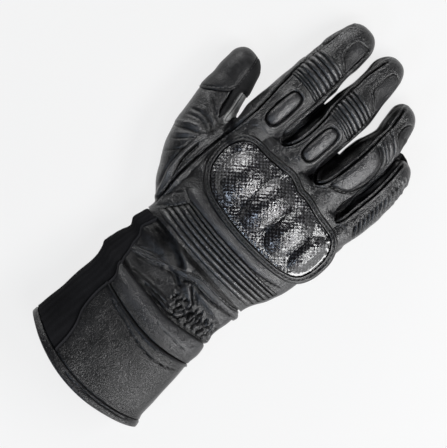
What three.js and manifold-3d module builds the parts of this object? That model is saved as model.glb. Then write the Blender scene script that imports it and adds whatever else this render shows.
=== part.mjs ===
// A long motorcycle glove for the right hand, lying palm down in its filled shape.
// Sizes are in millimetres. +Y points to the fingertips, +X to the little finger and +Z up.

import * as THREE from "three";
import { mergeVertices } from "three/addons/utils/BufferGeometryUtils.js";
import Module from "manifold-3d";

const wasm = await Module();
wasm.setup();

// Leather and clearances
const WALL = 2;
const GAP = 0.3;
const OVERLAY = 1.4;

// The glove's middle seen from above, which becomes x = 0 and y = 0
const MIDDLE = { x: -17.47, y: 4.57 };

// Roundness of the sections: 2 is an ellipse, more is squarer
const SLEEVE_SQUARE = 2.4;
const FINGER_SQUARE = 2.25;
const TIP_SQUARE = 2.5;
const SLEEVE_SIDES = 20;
const FINGER_SIDES = 12;

// Seams across the sleeve, from the fingers to the opening
const WRIST_SEAM = -33;
const YOKE_SEAM = -73;
const GAUNTLET_SEAM = -91;
const BINDING_SEAM = -146;
const CUFF_END = -152.7;
const KNUCKLE_END = 63;

// Height of the seam round the hand between its back and its palm
const SIDE_SEAM = 21;
const STRETCHES = [
  { name: "wrist_gather", from: YOKE_SEAM, to: WRIST_SEAM, steps: 13 },
  { name: "gauntlet_yoke", from: GAUNTLET_SEAM, to: YOKE_SEAM, steps: 2 },
  { name: "gauntlet", from: BINDING_SEAM, to: GAUNTLET_SEAM, steps: 4 },
  { name: "cuff_binding", from: CUFF_END, to: BINDING_SEAM, steps: 1 },
];
const LINING_STEPS = 2;

// Spacing of the fingers' sections, outside and inside
const FINGER_PITCH = 12;
const LINING_PITCH = 30;

const named = (columns, rows) =>
  rows.map((row) => Object.fromEntries(columns.map((column, i) => [column, row[i]])));

// Hand, wrist and cuff. bow moves a section's two sides along y, lean moves them apart.
const SLEEVE = named(
  ["y", "left", "right", "bottom", "top", "bow", "lean"],
  [
    [-152.7, -50.8, 54.5, -3, 66, 13.7, 0],
    [-146, -50.8, 53.2, -3, 65, 11.5, 0],
    [-138, -50.2, 50.6, -3, 63, 9.5, 0],
    [-120, -50, 49.3, -3, 59, 8, -1],
    [-100, -50, 47.3, -3, 55, 8, -2],
    [-91, -50.5, 46, -3, 53.5, 8, -2],
    [-80, -52.2, 44.8, -2, 51.5, 5, -1],
    [-73, -54, 44, -1, 48, 3, 0],
    [-65, -53, 43.4, 0.5, 44, 2, 0],
    [-57, -52, 42.2, 1, 42, 0, 0],
    [-50, -50.6, 42.6, 1, 42, 0, 0],
    [-45, -53.6, 43, 0.5, 42.8, 0, 0],
    [-38, -52.6, 43.2, 0, 43.8, 0, 0],
    [-31, -52, 43.2, -1, 44.5, 0, 0],
    [-22, -52.5, 47, -3, 45.5, 0, 0],
    [-10, -53.5, 51.5, -4, 46.5, 0, 0],
    [2, -54.5, 54, -4, 47, 0, 0],
    [20, -55, 55.5, -4, 46.5, 0, 0],
    [38, -55.5, 56, -3, 44.5, 0, 0],
    [50, -56.5, 56.5, -1, 42, -1.5, -2],
    [57, -56, 55.5, 3, 38, -3, -3.5],
    [61, -54, 53.5, 9, 33.5, -3.5, -4],
    [63, -49, 48, 17, 27, -3.5, -4],
  ]
);

// The five fingers, from inside the hand to the tip. tip is where the end closes.
const FINGER_COLUMNS = ["y", "left", "right", "bottom", "top"];
const FINGERS = {
  index: {
    tip: 160.3,
    tipLength: 12,
    rows: named(FINGER_COLUMNS, [
      [38, -53, -28, 3, 41],
      [62, -59.3, -25.6, 7, 40],
      [80, -59.2, -25.3, 8, 39],
      [100, -58.6, -25.3, 6.5, 37],
      [115, -58, -26.3, 4, 34],
      [128, -56.6, -28, 1.5, 30.5],
      [135, -57.5, -27.5, -0.5, 28.5],
      [150, -54.8, -29.3, -1.5, 24],
      [160.3, -53.5, -30.5, -1.5, 21.5],
    ]),
  },
  middle: {
    tip: 161.3,
    tipLength: 12,
    rows: named(FINGER_COLUMNS, [
      [38, -23, 4, 3, 43],
      [62, -24.4, 5.2, 7, 42],
      [80, -24.6, 5.8, 8.5, 41],
      [100, -24.6, 6.6, 7, 39],
      [112, -24.4, 6.3, 5, 36],
      [120, -24, 5, 3, 34],
      [128, -22.6, 3.4, 1.5, 31.5],
      [140, -23.5, 1, -1, 28],
      [150, -24, -0.5, -1.5, 25],
      [161.3, -22.5, -2.5, -1.5, 22],
    ]),
  },
  ring: {
    tip: 146.3,
    tipLength: 11,
    rows: named(FINGER_COLUMNS, [
      [38, 8, 35, 3, 42],
      [60, 6.2, 36, 6, 41],
      [80, 6.8, 35.6, 8, 39],
      [95, 7.5, 36, 7, 37.5],
      [105, 8.4, 36.2, 5.5, 35.5],
      [118, 11.5, 34.8, 3, 32],
      [125, 10, 32.6, 1, 30],
      [133, 8.2, 30, -1, 27],
      [146.3, 7.5, 25.5, -1.5, 23],
    ]),
  },
  little: {
    tip: 119.2,
    tipLength: 11,
    rows: named(FINGER_COLUMNS, [
      [36, 38, 53.5, 4, 38],
      [56, 37, 57, 6, 37],
      [72, 36.6, 58.5, 7, 35],
      [85, 36.8, 58, 6, 33],
      [95, 37, 57, 4, 31],
      [105, 37, 55.2, 1.5, 28],
      [119.2, 35.8, 50.5, -1.5, 22],
    ]),
  },
  thumb: {
    tip: 90.3,
    tipLength: 11,
    rows: named(FINGER_COLUMNS, [
      [-31, -48, -28, 2, 28],
      [-15, -64, -34, -2, 33],
      [5, -77.5, -40, -3, 36],
      [19, -83.6, -44, -3, 36],
      [33, -87, -48, -3, 34.5],
      [45, -89.6, -53, -2.5, 32],
      [55, -91, -59.5, -2, 29.5],
      [62, -91.4, -63, -2, 28.5],
      [70, -92.3, -65.5, -2, 27],
      [78, -93, -68.5, -2, 25.5],
      [90.3, -93, -74, -2, 22],
    ]),
  },
};

// Knuckle guard: its outline, the four bumps and the padded roll around it
const GUARD_OUTLINE = [
  [54, 27], [53, 35], [49, 42], [43, 45.3], [30, 46.5], [16, 49], [8, 49], [-3, 52], [-12, 50.5],
  [-24, 49], [-35, 48.5], [-41.5, 45], [-45.5, 37], [-46, 29], [-43.5, 19], [-38, 12], [-30, 6.8],
  [-18, 4.3], [0, 2.8], [18, 3.3], [32, 4.7], [42, 7], [49.5, 11], [53.2, 18],
];
const GUARD_WALL = 2.5;
const GUARD_RIM = 4;
const GUARD_BUMPS = named(
  ["x", "y", "radiusX", "radiusY", "height"],
  [
    [-24, 27, 17, 21, 8],
    [1, 28, 14, 22, 9.5],
    [24.5, 27, 13, 20, 8.5],
    [45, 26, 10, 17, 6.5],
  ]
);
const SURROUND = { inset: 0.9, width: 4.6, rise: 3.4 };

// Padded ovals and ribbed panels on the fingers
const PADS = named(
  ["finger", "x", "y", "halfWidth", "halfLength", "rise"],
  [
    ["index", -41, 79.5, 5.8, 14.5, 3],
    ["middle", -5.5, 81, 5.3, 14.5, 3],
    ["ring", 25.5, 88.5, 7.2, 19, 2.6],
  ]
);
const ACCORDIONS = named(
  ["finger", "left", "right", "low", "high", "folds", "bow", "lean"],
  [
    ["index", -54.5, -30, 101, 128, 8, -1.5, -0.5],
    ["middle", -18.5, 3.5, 101, 126, 8, -1.5, -1.5],
    ["ring", 17, 34.5, 108.5, 124, 5, -1, -3],
  ]
);
const FOLD_LOW = 0.8;
const FOLD_HIGH = 2.2;
const BACK_ACCORDION = { left: -43, right: 44.5, low: -29.5, high: -8, folds: 6, bow: 2.5, lean: 1 };

// Leather overlays beside the fingertips, seen from above
const TIP_PATCHES = {
  index: [[-42.5, 149], [-42, 140], [-40.5, 134], [-34, 129.8], [-20, 129.8], [-20, 153], [-36, 153]],
  middle: [[-10, 151], [-10, 136], [-5, 131], [0.5, 128], [10, 128], [10, 154], [-6, 154]],
  ring: [[22.5, 142], [23.5, 137], [24, 126.5], [30, 125.2], [45, 125.2], [45, 145], [25, 145]],
};
const PATCH_FLOOR = 10;
const CAP_FLOOR = 5;
const CAP_OUTLINE = [[-110, 47.5], [-90, 47.5], [-82, 53], [-74, 60], [-50, 66], [-50, 110], [-110, 110]];

// Strap and flap, as widths along the sleeve at turns round it. 0 is the little-finger side,
// 90 the back and 180 the thumb side, in degrees.
const STRAP = named(
  ["turn", "low", "high"],
  [
    [-60, -44, -36.5],
    [-20, -42.5, -35],
    [15, -41.5, -33.5],
    [50, -43, -36],
    [75, -44, -37],
    [95, -47.5, -40],
    [112, -52.5, -45],
    [124, -57, -50],
  ]
);
const STRAP_RISE = 2.2;
const FLAP = named(
  ["y", "from", "to"],
  [
    [-144.5, 109.5, 222],
    [-132, 110.5, 222],
    [-122, 114, 222],
    [-114, 119.5, 222],
    [-98, 122.5, 222],
    [-82, 119.5, 222],
    [-74, 123.5, 222],
    [-61, 128.5, 222],
    [-50, 137, 222],
    [-41, 139, 222],
  ]
);
const FLAP_RISE = 1.8;
const FLAP_STEPS = 5;

// Wrist gathers: shallow folds round the sleeve
const GATHER = { low: -70, high: -45.4, folds: 4, rise: 1 };

// Looks
const leather = (colour, roughness) =>
  new THREE.MeshStandardMaterial({ color: colour, roughness, metalness: 0 });
const BLACK_LEATHER = leather(0x1b1b1d, 0.5);
const SOFT_LEATHER = leather(0x232326, 0.6);
const PADDED_LEATHER = leather(0x1f1f21, 0.45);
const FIBRE = new THREE.MeshStandardMaterial({ color: 0x2c2d31, roughness: 0.15, metalness: 0.2 });

const count = (n) => Array.from({ length: n }, (_, i) => i);
const mix = THREE.MathUtils.lerp;

// A table's row at any y, on a smooth curve through each of its columns
function rowAt(table, y) {
  const last = table.length - 1;
  let i = 0;
  while (i < last - 1 && table[i + 1].y < y) i++;
  const [from, to] = [table[i], table[i + 1]];
  const before = table[Math.max(i - 1, 0)];
  const after = table[Math.min(i + 2, last)];
  const span = to.y - from.y;
  const t = THREE.MathUtils.clamp((y - from.y) / span, 0, 1);
  const row = {};
  for (const key of Object.keys(from)) {
    const leave = ((to[key] - before[key]) / (to.y - before.y)) * span;
    const arrive = ((after[key] - from[key]) / (after.y - from.y)) * span;
    const rise = to[key] - from[key];
    const bend = 3 * rise - 2 * leave - arrive + t * (leave + arrive - 2 * rise);
    row[key] = from[key] + t * (leave + t * bend);
  }
  row.y = y;
  return row;
}

const power = (value, square) => Math.sign(value) * Math.abs(value) ** (2 / square);

// One point of a section, at an angle round it. Leather that lies on the ground is flat there.
function sectionPoint(row, angle, offset, square, shrink = 1) {
  const half = ((row.right - row.left) / 2 + offset) * shrink;
  const rise = ((row.top - row.bottom) / 2 + offset) * shrink;
  const across = power(Math.cos(angle), square);
  const up = power(Math.sin(angle), square);
  const bow = row.bow ?? 0;
  const lean = row.lean ?? 0;
  return new THREE.Vector3(
    (row.left + row.right) / 2 + half * across,
    row.y + lean * across + bow * across * across,
    Math.max((row.bottom + row.top) / 2 + rise * up, -offset)
  );
}

const section = (row, offset, sides, square, shrink) =>
  count(sides).map((i) => sectionPoint(row, (2 * Math.PI * i) / sides, offset, square, shrink));

// Height of a tube's top above the ground at a place seen from above
function topHeight(rows, x, y, square) {
  const row = rowAt(rows, y);
  const across = (x - (row.left + row.right) / 2) / ((row.right - row.left) / 2);
  const up = (1 - Math.min(Math.abs(across), 0.97) ** square) ** (1 / square);
  return (row.bottom + row.top) / 2 + ((row.top - row.bottom) / 2) * up;
}

// Height of the back of the hand, which the fingers' roots carry on at the knuckles
function backHeight(x, y) {
  const heights = Object.values(FINGERS)
    .filter(({ rows }) => y > rows[0].y && x > rowAt(rows, y).left && x < rowAt(rows, y).right)
    .map(({ rows }) => topHeight(rows, x, y, FINGER_SQUARE));
  return Math.max(topHeight(SLEEVE, x, y, SLEEVE_SQUARE), ...heights);
}

// A closed solid through rings with the same number of points. A loop joins its ends.
function loft(rings, loop = false) {
  const size = rings[0].length;
  const positions = rings.flat().flatMap((point) => [point.x, point.y, point.z]);
  const index = [];
  const quad = (a, b, c, d) => index.push(a, b, c, a, c, d);
  const last = loop ? rings.length : rings.length - 1;
  for (let r = 0; r < last; r++) {
    const low = r * size;
    const high = ((r + 1) % rings.length) * size;
    for (let i = 0; i < size; i++) {
      const next = (i + 1) % size;
      quad(low + i, low + next, high + next, high + i);
    }
  }
  if (!loop) {
    const end = (rings.length - 1) * size;
    for (let i = 0; i < size / 2 - 1; i++) {
      const other = size - 1 - i;
      quad(other, other - 1, i + 1, i);
      quad(end + i, end + i + 1, end + other - 1, end + other);
    }
  }
  const geometry = new THREE.BufferGeometry();
  geometry.setAttribute("position", new THREE.Float32BufferAttribute(positions, 3));
  geometry.setIndex(index);
  return solid(geometry);
}

// A closed mesh as a solid that can be joined and cut
function solid(geometry) {
  geometry.deleteAttribute("normal");
  geometry.deleteAttribute("uv");
  const merged = mergeVertices(geometry);
  const body = new wasm.Manifold(
    new wasm.Mesh({
      numProp: 3,
      vertProperties: new Float32Array(merged.attributes.position.array),
      triVerts: new Uint32Array(merged.index.array),
    })
  );
  return body.volume() < 0 ? solid(turned(merged)) : body;
}

function turned(geometry) {
  const index = Array.from(geometry.index.array);
  for (let i = 0; i < index.length; i += 3) [index[i], index[i + 1]] = [index[i + 1], index[i]];
  geometry.setIndex(index);
  return geometry;
}

const union = (solids) => solids.reduce((whole, part) => whole.add(part));

// The largest of the bodies that a cut leaves
const mainBody = (whole) =>
  whole.decompose().reduce((best, part) => (part.volume() > best.volume() ? part : best));

// How far the wrist's gathers swell the leather at a place along it
function gatherRise(y) {
  if (y < GATHER.low || y > GATHER.high) return 0;
  const turn = ((y - GATHER.low) / (GATHER.high - GATHER.low)) * GATHER.folds;
  return (GATHER.rise * (1 - Math.cos(2 * Math.PI * turn))) / 2;
}

const sleeveSection = (y, offset) => section(rowAt(SLEEVE, y), offset, SLEEVE_SIDES, SLEEVE_SQUARE);

// A stretch of the sleeve as a full body. The gathers show on its outside only.
function sleeveBody({ from, to, steps }, offset) {
  const swell = (y) => (offset < 0 ? 0 : gatherRise(y));
  return loft(
    count(steps + 1).map((i) => {
      const y = mix(from, to, i / steps);
      return sleeveSection(y, offset + swell(y)).map((point) => point.setZ(Math.max(point.z, -offset)));
    })
  );
}

// A stretch of the sleeve as a wall, open at both ends
function sleeveWall(stretch) {
  const seam = { ...stretch, to: stretch.to - GAP };
  const shifted = (y, by) => sleeveSection(y, -WALL).map((point) => point.setY(point.y + by));
  const lowMouth = loft([shifted(seam.from, -WALL), shifted(seam.from, 0)]);
  const highMouth = loft([shifted(seam.to, 0), shifted(seam.to, WALL)]);
  return sleeveBody(seam, 0)
    .subtract(sleeveBody({ ...seam, steps: Math.min(seam.steps, LINING_STEPS) }, -WALL))
    .subtract(lowMouth)
    .subtract(highMouth);
}

// The hand's own body, from the wrist seam to the closed end between the fingers
function handBody(offset, start = WRIST_SEAM) {
  const stops = [start, -20, -6, 10, 26, 40, 50, 57, 61];
  const rings = stops.map((y) => section(rowAt(SLEEVE, y), offset, SLEEVE_SIDES, SLEEVE_SQUARE));
  const end = section(rowAt(SLEEVE, KNUCKLE_END), offset, SLEEVE_SIDES, SLEEVE_SQUARE);
  end.forEach((point) => (point.y += offset));
  return loft([...rings, end]);
}

// A finger as a full body, with a rounded end
function fingerBody(finger, offset) {
  const { rows, tip, tipLength } = finger;
  const start = rows[0].y;
  const shoulder = tip - tipLength;
  const steps = Math.round((shoulder - start) / (offset < 0 ? LINING_PITCH : FINGER_PITCH));
  const straight = count(steps + 1).map((i) => ({ y: mix(start, shoulder, i / steps), shrink: 1 }));
  const rounded = [0.45, 0.75, 0.92, 1].map((reach) => ({
    y: shoulder + reach * (tipLength + offset),
    shrink: Math.max((1 - reach ** TIP_SQUARE) ** (1 / TIP_SQUARE), 0.2),
  }));
  const rings = [...straight, ...rounded].map(({ y, shrink }) => {
    const row = { ...rowAt(rows, Math.min(y, tip)), y };
    return section(row, offset, FINGER_SIDES, FINGER_SQUARE, shrink);
  });
  return loft(rings);
}

// Every leather tube's outside, grown by a clearance, for what lies on it
function skin(offset) {
  const tubes = Object.values(FINGERS).map((finger) => fingerBody(finger, offset));
  const stretches = STRETCHES.map((stretch) => sleeveBody(stretch, offset));
  return union([handBody(offset), ...stretches, ...tubes]);
}

const prism = (outline, low, high) => {
  const shape = new THREE.Shape(outline.map(([x, y]) => new THREE.Vector2(x, y)));
  const body = new THREE.ExtrudeGeometry(shape, { depth: high - low, bevelEnabled: false });
  return solid(body.translate(0, 0, low));
};

// A closed outline's points, evenly spaced round a smooth curve, and moved out by a distance
function outlinePoints(outline, points, outwards = 0) {
  const curve = new THREE.CatmullRomCurve3(
    outline.map(([x, y]) => new THREE.Vector3(x, y, 0)),
    true,
    "centripetal"
  );
  return count(points).map((i) => {
    const at = curve.getPointAt(i / points);
    const ahead = curve.getTangentAt(i / points);
    return new THREE.Vector2(at.x + ahead.y * outwards, at.y - ahead.x * outwards);
  });
}

// How far up the guard stands above the back of the hand
function guardRise(x, y) {
  const bumps = GUARD_BUMPS.map((bump) => {
    const reach = ((x - bump.x) / bump.radiusX) ** 2 + ((y - bump.y) / bump.radiusY) ** 2;
    return bump.height * Math.max(1 - reach, 0) ** 0.6;
  });
  return GUARD_RIM + Math.max(...bumps);
}

// A solid over a grid seen from above, between an upper and a lower height
function field(columns, rows, place, upperAt, lowerAt) {
  const rings = count(rows + 1).map((r) => {
    const row = count(columns + 1).map((c) => place(c / columns, r / rows));
    const upper = row.map(({ x, y }) => new THREE.Vector3(x, y, upperAt(x, y, r)));
    const lower = row.map(({ x, y }) => new THREE.Vector3(x, y, lowerAt(x, y))).reverse();
    return [...upper, ...lower];
  });
  return loft(rings);
}

function guardBody(inset) {
  const box = { left: -48, right: 56, low: 1, high: 54 };
  const place = (u, v) => ({ x: mix(box.left, box.right, u), y: mix(box.low, box.high, v) });
  const upper = (x, y) => backHeight(x, y) + guardRise(x, y) - inset;
  const body = field(15, 7, place, upper, (x, y) => backHeight(x, y) - 5);
  const outline = outlinePoints(GUARD_OUTLINE, 26, -inset).map(({ x, y }) => [x, y]);
  return body.intersect(prism(outline, 0, 80));
}

function knuckleGuard(clear) {
  return mainBody(guardBody(0).subtract(guardBody(GUARD_WALL)).subtract(clear));
}

// A padded roll round the guard
function knuckleSurround(clear) {
  const points = 28;
  const profile = [
    [0, -4],
    [0, 0.55],
    [0.3, 1],
    [0.7, 0.95],
    [1, 0.4],
    [1, -4],
  ];
  const lines = profile.map(([part]) =>
    outlinePoints(GUARD_OUTLINE, points, SURROUND.inset + part * SURROUND.width)
  );
  const rings = count(points).map((i) =>
    profile.map(([, level], k) => {
      const { x, y } = lines[k][i];
      const lift = level > 0 ? level * SURROUND.rise : level;
      return new THREE.Vector3(x, y, backHeight(x, y) + lift);
    })
  );
  return mainBody(loft(rings, true).subtract(clear));
}

// A padded oval on a finger
function pad({ finger, x, y, halfWidth, halfLength, rise }, clear) {
  const sides = 14;
  const rings = [
    [1, -3],
    [1, 0.45 * rise],
    [0.8, 0.85 * rise],
    [0.4, rise],
  ].map(([scale, lift]) =>
    count(sides).map((i) => {
      const angle = (2 * Math.PI * i) / sides;
      const px = x + halfWidth * scale * Math.cos(angle);
      const py = y + halfLength * scale * Math.sin(angle);
      return new THREE.Vector3(px, py, topHeight(FINGERS[finger].rows, px, py, FINGER_SQUARE) + lift);
    })
  );
  return mainBody(loft(rings).subtract(clear));
}

// A panel with folds across it, laid on a surface whose height is given
function foldedPanel({ left, right, low, high, folds, bow, lean }, columns, heightAt, clear) {
  const place = (u, v) => {
    const across = 2 * u - 1;
    return { x: mix(left, right, u), y: mix(low, high, v) + bow * across * across + lean * across };
  };
  const upper = (x, y, r) => heightAt(x, y) + (r % 2 ? FOLD_HIGH : FOLD_LOW);
  const panel = field(columns, folds * 2, place, upper, (x, y) => heightAt(x, y) - 3);
  return mainBody(panel.subtract(clear));
}

function fingerAccordion(panel, clear) {
  const heightAt = (x, y) => topHeight(FINGERS[panel.finger].rows, x, y, FINGER_SQUARE);
  return foldedPanel(panel, 4, heightAt, clear);
}

// A thin overlay on a finger, inside an outline seen from above
function fingerOverlay(name, outline, floor) {
  const layer = fingerBody(FINGERS[name], OVERLAY).subtract(fingerBody(FINGERS[name], GAP));
  return mainBody(layer.intersect(prism(outline, floor, 60)));
}

const radians = THREE.MathUtils.degToRad;

// A strap round the sleeve, between two edges along y
function wristStrap(clear) {
  const rings = STRAP.map(({ turn, low, high }) => {
    const corner = (y, offset) => sectionPoint(rowAt(SLEEVE, y), radians(turn), offset, SLEEVE_SQUARE);
    return [corner(low, STRAP_RISE), corner(high, STRAP_RISE), corner(high, -WALL), corner(low, -WALL)];
  });
  return mainBody(loft(rings).subtract(clear));
}

// A flap that wraps the thumb side of wrist and cuff
function closureFlap(clear) {
  const rings = FLAP.map(({ y, from, to }) => {
    const row = rowAt(SLEEVE, y);
    const arc = (offset) =>
      count(FLAP_STEPS + 1).map((i) =>
        sectionPoint(row, radians(mix(from, to, i / FLAP_STEPS)), offset, SLEEVE_SQUARE)
      );
    return [...arc(FLAP_RISE), ...arc(-WALL).reverse()];
  });
  return mainBody(loft(rings).subtract(clear));
}

// The finished pieces

const hollows = union(Object.values(FINGERS).map((finger) => fingerBody(finger, -WALL)));
const handOutside = handBody(GAP, WRIST_SEAM - WALL);
const clear = skin(GAP);

function handShell() {
  const mouth = sleeveBody({ from: WRIST_SEAM - WALL, to: WRIST_SEAM, steps: 1 }, -WALL);
  return mainBody(handBody(0).subtract(handBody(-WALL)).subtract(mouth).subtract(hollows));
}

function fingerTube(name) {
  const tube = fingerBody(FINGERS[name], 0).subtract(fingerBody(FINGERS[name], -WALL));
  return mainBody(tube.subtract(handOutside));
}

// The thumb also keeps clear of the index finger's root
const thumbTube = () => mainBody(fingerTube("thumb").subtract(fingerBody(FINGERS.index, GAP)));

const group = new THREE.Group();
group.position.set(-MIDDLE.x, -MIDDLE.y, 0);

function piece(name, body, material) {
  const { vertProperties, triVerts } = body.getMesh();
  const geometry = new THREE.BufferGeometry();
  geometry.setAttribute("position", new THREE.BufferAttribute(vertProperties, 3));
  geometry.setIndex(new THREE.BufferAttribute(triVerts, 1));
  geometry.computeVertexNormals();
  const mesh = new THREE.Mesh(geometry, material);
  mesh.name = name;
  group.add(mesh);
}

const hand = handShell();
const handOutline = [[-80, -50], [80, -50], [80, 80], [-80, 80]];
const abovePalm = prism(handOutline, SIDE_SEAM + GAP / 2, 80);
const belowBack = prism(handOutline, -10, SIDE_SEAM - GAP / 2);
piece("hand_back", mainBody(hand.intersect(abovePalm)), BLACK_LEATHER);
piece("palm", mainBody(hand.intersect(belowBack)), BLACK_LEATHER);
for (const name of ["index", "middle", "ring", "little"]) {
  piece(`${name}_finger`, fingerTube(name), BLACK_LEATHER);
}
piece("thumb", thumbTube(), BLACK_LEATHER);
piece("thumb_cap", fingerOverlay("thumb", CAP_OUTLINE, CAP_FLOOR), SOFT_LEATHER);
for (const [name, outline] of Object.entries(TIP_PATCHES)) {
  piece(`${name}_tip_patch`, fingerOverlay(name, outline, PATCH_FLOOR), SOFT_LEATHER);
}
for (const oval of PADS) piece(`${oval.finger}_pad`, pad(oval, clear), PADDED_LEATHER);
for (const panel of ACCORDIONS) {
  piece(`${panel.finger}_accordion`, fingerAccordion(panel, clear), SOFT_LEATHER);
}
piece("back_accordion", foldedPanel(BACK_ACCORDION, 8, backHeight, clear), SOFT_LEATHER);
piece("knuckle_guard", knuckleGuard(clear), FIBRE);
piece("knuckle_surround", knuckleSurround(clear), PADDED_LEATHER);
piece("wrist_strap", wristStrap(clear), PADDED_LEATHER);
const stretchLeather = {
  wrist_gather: SOFT_LEATHER,
  gauntlet_yoke: PADDED_LEATHER,
  gauntlet: BLACK_LEATHER,
  cuff_binding: PADDED_LEATHER,
};
for (const stretch of STRETCHES) {
  piece(stretch.name, sleeveWall(stretch), stretchLeather[stretch.name]);
}
piece("closure_flap", closureFlap(clear), BLACK_LEATHER);

export default group;
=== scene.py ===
"""Looks of a long motorcycle glove for the right hand, lying palm down in its worn, filled shape.

The tables are in millimetres, seen from above: +Y runs to the fingertips, +X to the little finger and
+Z up. Their point MIDDLE is the frame's origin, and add_piece turns them into metres there.
"""

import math

import bpy
import numpy as np
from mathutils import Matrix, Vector
from mathutils.bvhtree import BVHTree


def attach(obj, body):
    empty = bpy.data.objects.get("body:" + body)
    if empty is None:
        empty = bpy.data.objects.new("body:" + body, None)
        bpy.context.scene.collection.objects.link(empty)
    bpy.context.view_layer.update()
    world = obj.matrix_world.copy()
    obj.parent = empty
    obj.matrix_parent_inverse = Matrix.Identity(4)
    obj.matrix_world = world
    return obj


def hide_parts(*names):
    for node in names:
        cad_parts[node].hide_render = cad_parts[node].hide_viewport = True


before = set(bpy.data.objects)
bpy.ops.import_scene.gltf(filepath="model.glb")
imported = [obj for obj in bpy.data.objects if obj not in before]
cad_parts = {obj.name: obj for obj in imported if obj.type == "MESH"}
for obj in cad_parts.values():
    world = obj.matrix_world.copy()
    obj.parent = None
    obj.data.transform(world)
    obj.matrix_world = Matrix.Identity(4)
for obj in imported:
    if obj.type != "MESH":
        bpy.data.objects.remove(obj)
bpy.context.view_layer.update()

MIDDLE = np.array([-17.47, 4.57, 0.0])
MM = 0.001
# Random draws for wrinkles and stitches, the same each time
rng = np.random.default_rng(7)

# Camera, straight above like the photograph's, turned about the vertical
PICTURE_WIDTH = 304.0
PICTURE_CENTRE = (-9.3, -2.3)
PICTURE_TURN = 48.5
PICTURE_LEVEL = 30.0
CAMERA_HEIGHT = 2200.0
SENSOR = 36.0


def add_camera():
    """The camera that sees the glove as the photograph does."""
    data = bpy.data.cameras.new("camera")
    data.sensor_width = SENSOR
    data.lens = SENSOR * (CAMERA_HEIGHT - PICTURE_LEVEL) / PICTURE_WIDTH
    data.clip_end = 50
    camera = bpy.data.objects.new("camera", data)
    place = np.array([*PICTURE_CENTRE, CAMERA_HEIGHT]) - MIDDLE
    camera.location = place * MM
    camera.rotation_euler = (0, 0, math.radians(PICTURE_TURN))
    bpy.context.scene.collection.objects.link(camera)
    bpy.context.scene.camera = camera


add_camera()

# Leather walls, and the roundness of sections: 2 is an ellipse, more is squarer
WALL = 2.0
SLEEVE_SQUARE = 2.4
FINGER_SQUARE = 2.25
TIP_SQUARE = 2.5

# Stations of the seams across the wrist and the cuff, and the height of the seam along the hand's side
WRIST_SEAM = -33.0
YOKE_SEAM = -72.2
GAUNTLET_SEAM = -89.6
BINDING_SEAM = -144.4
CUFF_END = -151.6
SIDE_SEAM = 21.0

# Where the fingers' leather begins, and the lines between neighbouring fingers
FINGER_ROOT = 59.0
# Where the hand's body starts below the wrist's seam, where it starts for a pair of fingers, and where
# the fingers' stubs on it end
HAND_START = -42.0
PAIR_START = 40.0
STUB_END = 76.0
BETWEEN = {"index_middle": -25.0, "middle_ring": 5.95, "ring_little": 36.4}

# Fineness of the skin's mesh
VOXEL = 0.64

# Columns: y, left, right, bottom, top, bow, lean
SLEEVE = np.array(
    [
        [-152.7, -50.8, 54.5, -3, 66, 13.7, 0],
        [-146, -50.8, 53.2, -3, 65, 11.5, 0],
        [-138, -50.2, 50.6, -3, 63, 9.5, 0],
        [-120, -50, 49.3, -3, 59, 8, -1],
        [-100, -50, 47.3, -3, 55, 8, -2],
        [-91, -50.5, 46, -3, 53.5, 8, -2],
        [-80, -52.2, 44.8, -2, 51.5, 5, -1],
        [-73, -54, 44, -1, 48, 3, 0],
        [-65, -53, 43.4, 0.5, 44, 2, 0],
        [-57, -52, 42.2, 1, 42, 0, 0],
        [-50, -50.6, 42.6, 1, 42, 0, 0],
        [-45, -53.6, 43, 0.5, 42.8, 0, 0],
        [-38, -52.6, 43.2, 0, 43.8, 0, 0],
        [-31, -52, 43.2, -1, 44.5, 0, 0],
        [-22, -52.5, 47, -3, 45.5, 0, 0],
        [-10, -53.5, 51.5, -4, 46.5, 0, 0],
        [2, -54.5, 54, -4, 47, 0, 0],
        [20, -55, 55.5, -4, 46.5, 0, 0],
        [38, -55.5, 56, -3, 44.5, 0, 0],
        [50, -56.5, 56.5, -1, 42, -1.5, -2],
        [57, -56, 55.5, 3, 40.8, -3, -3.5],
        [61, -54, 53.5, 9, 39, -3.5, -4],
        [63, -49, 48, 17, 34, -3.5, -4],
    ]
)

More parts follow.
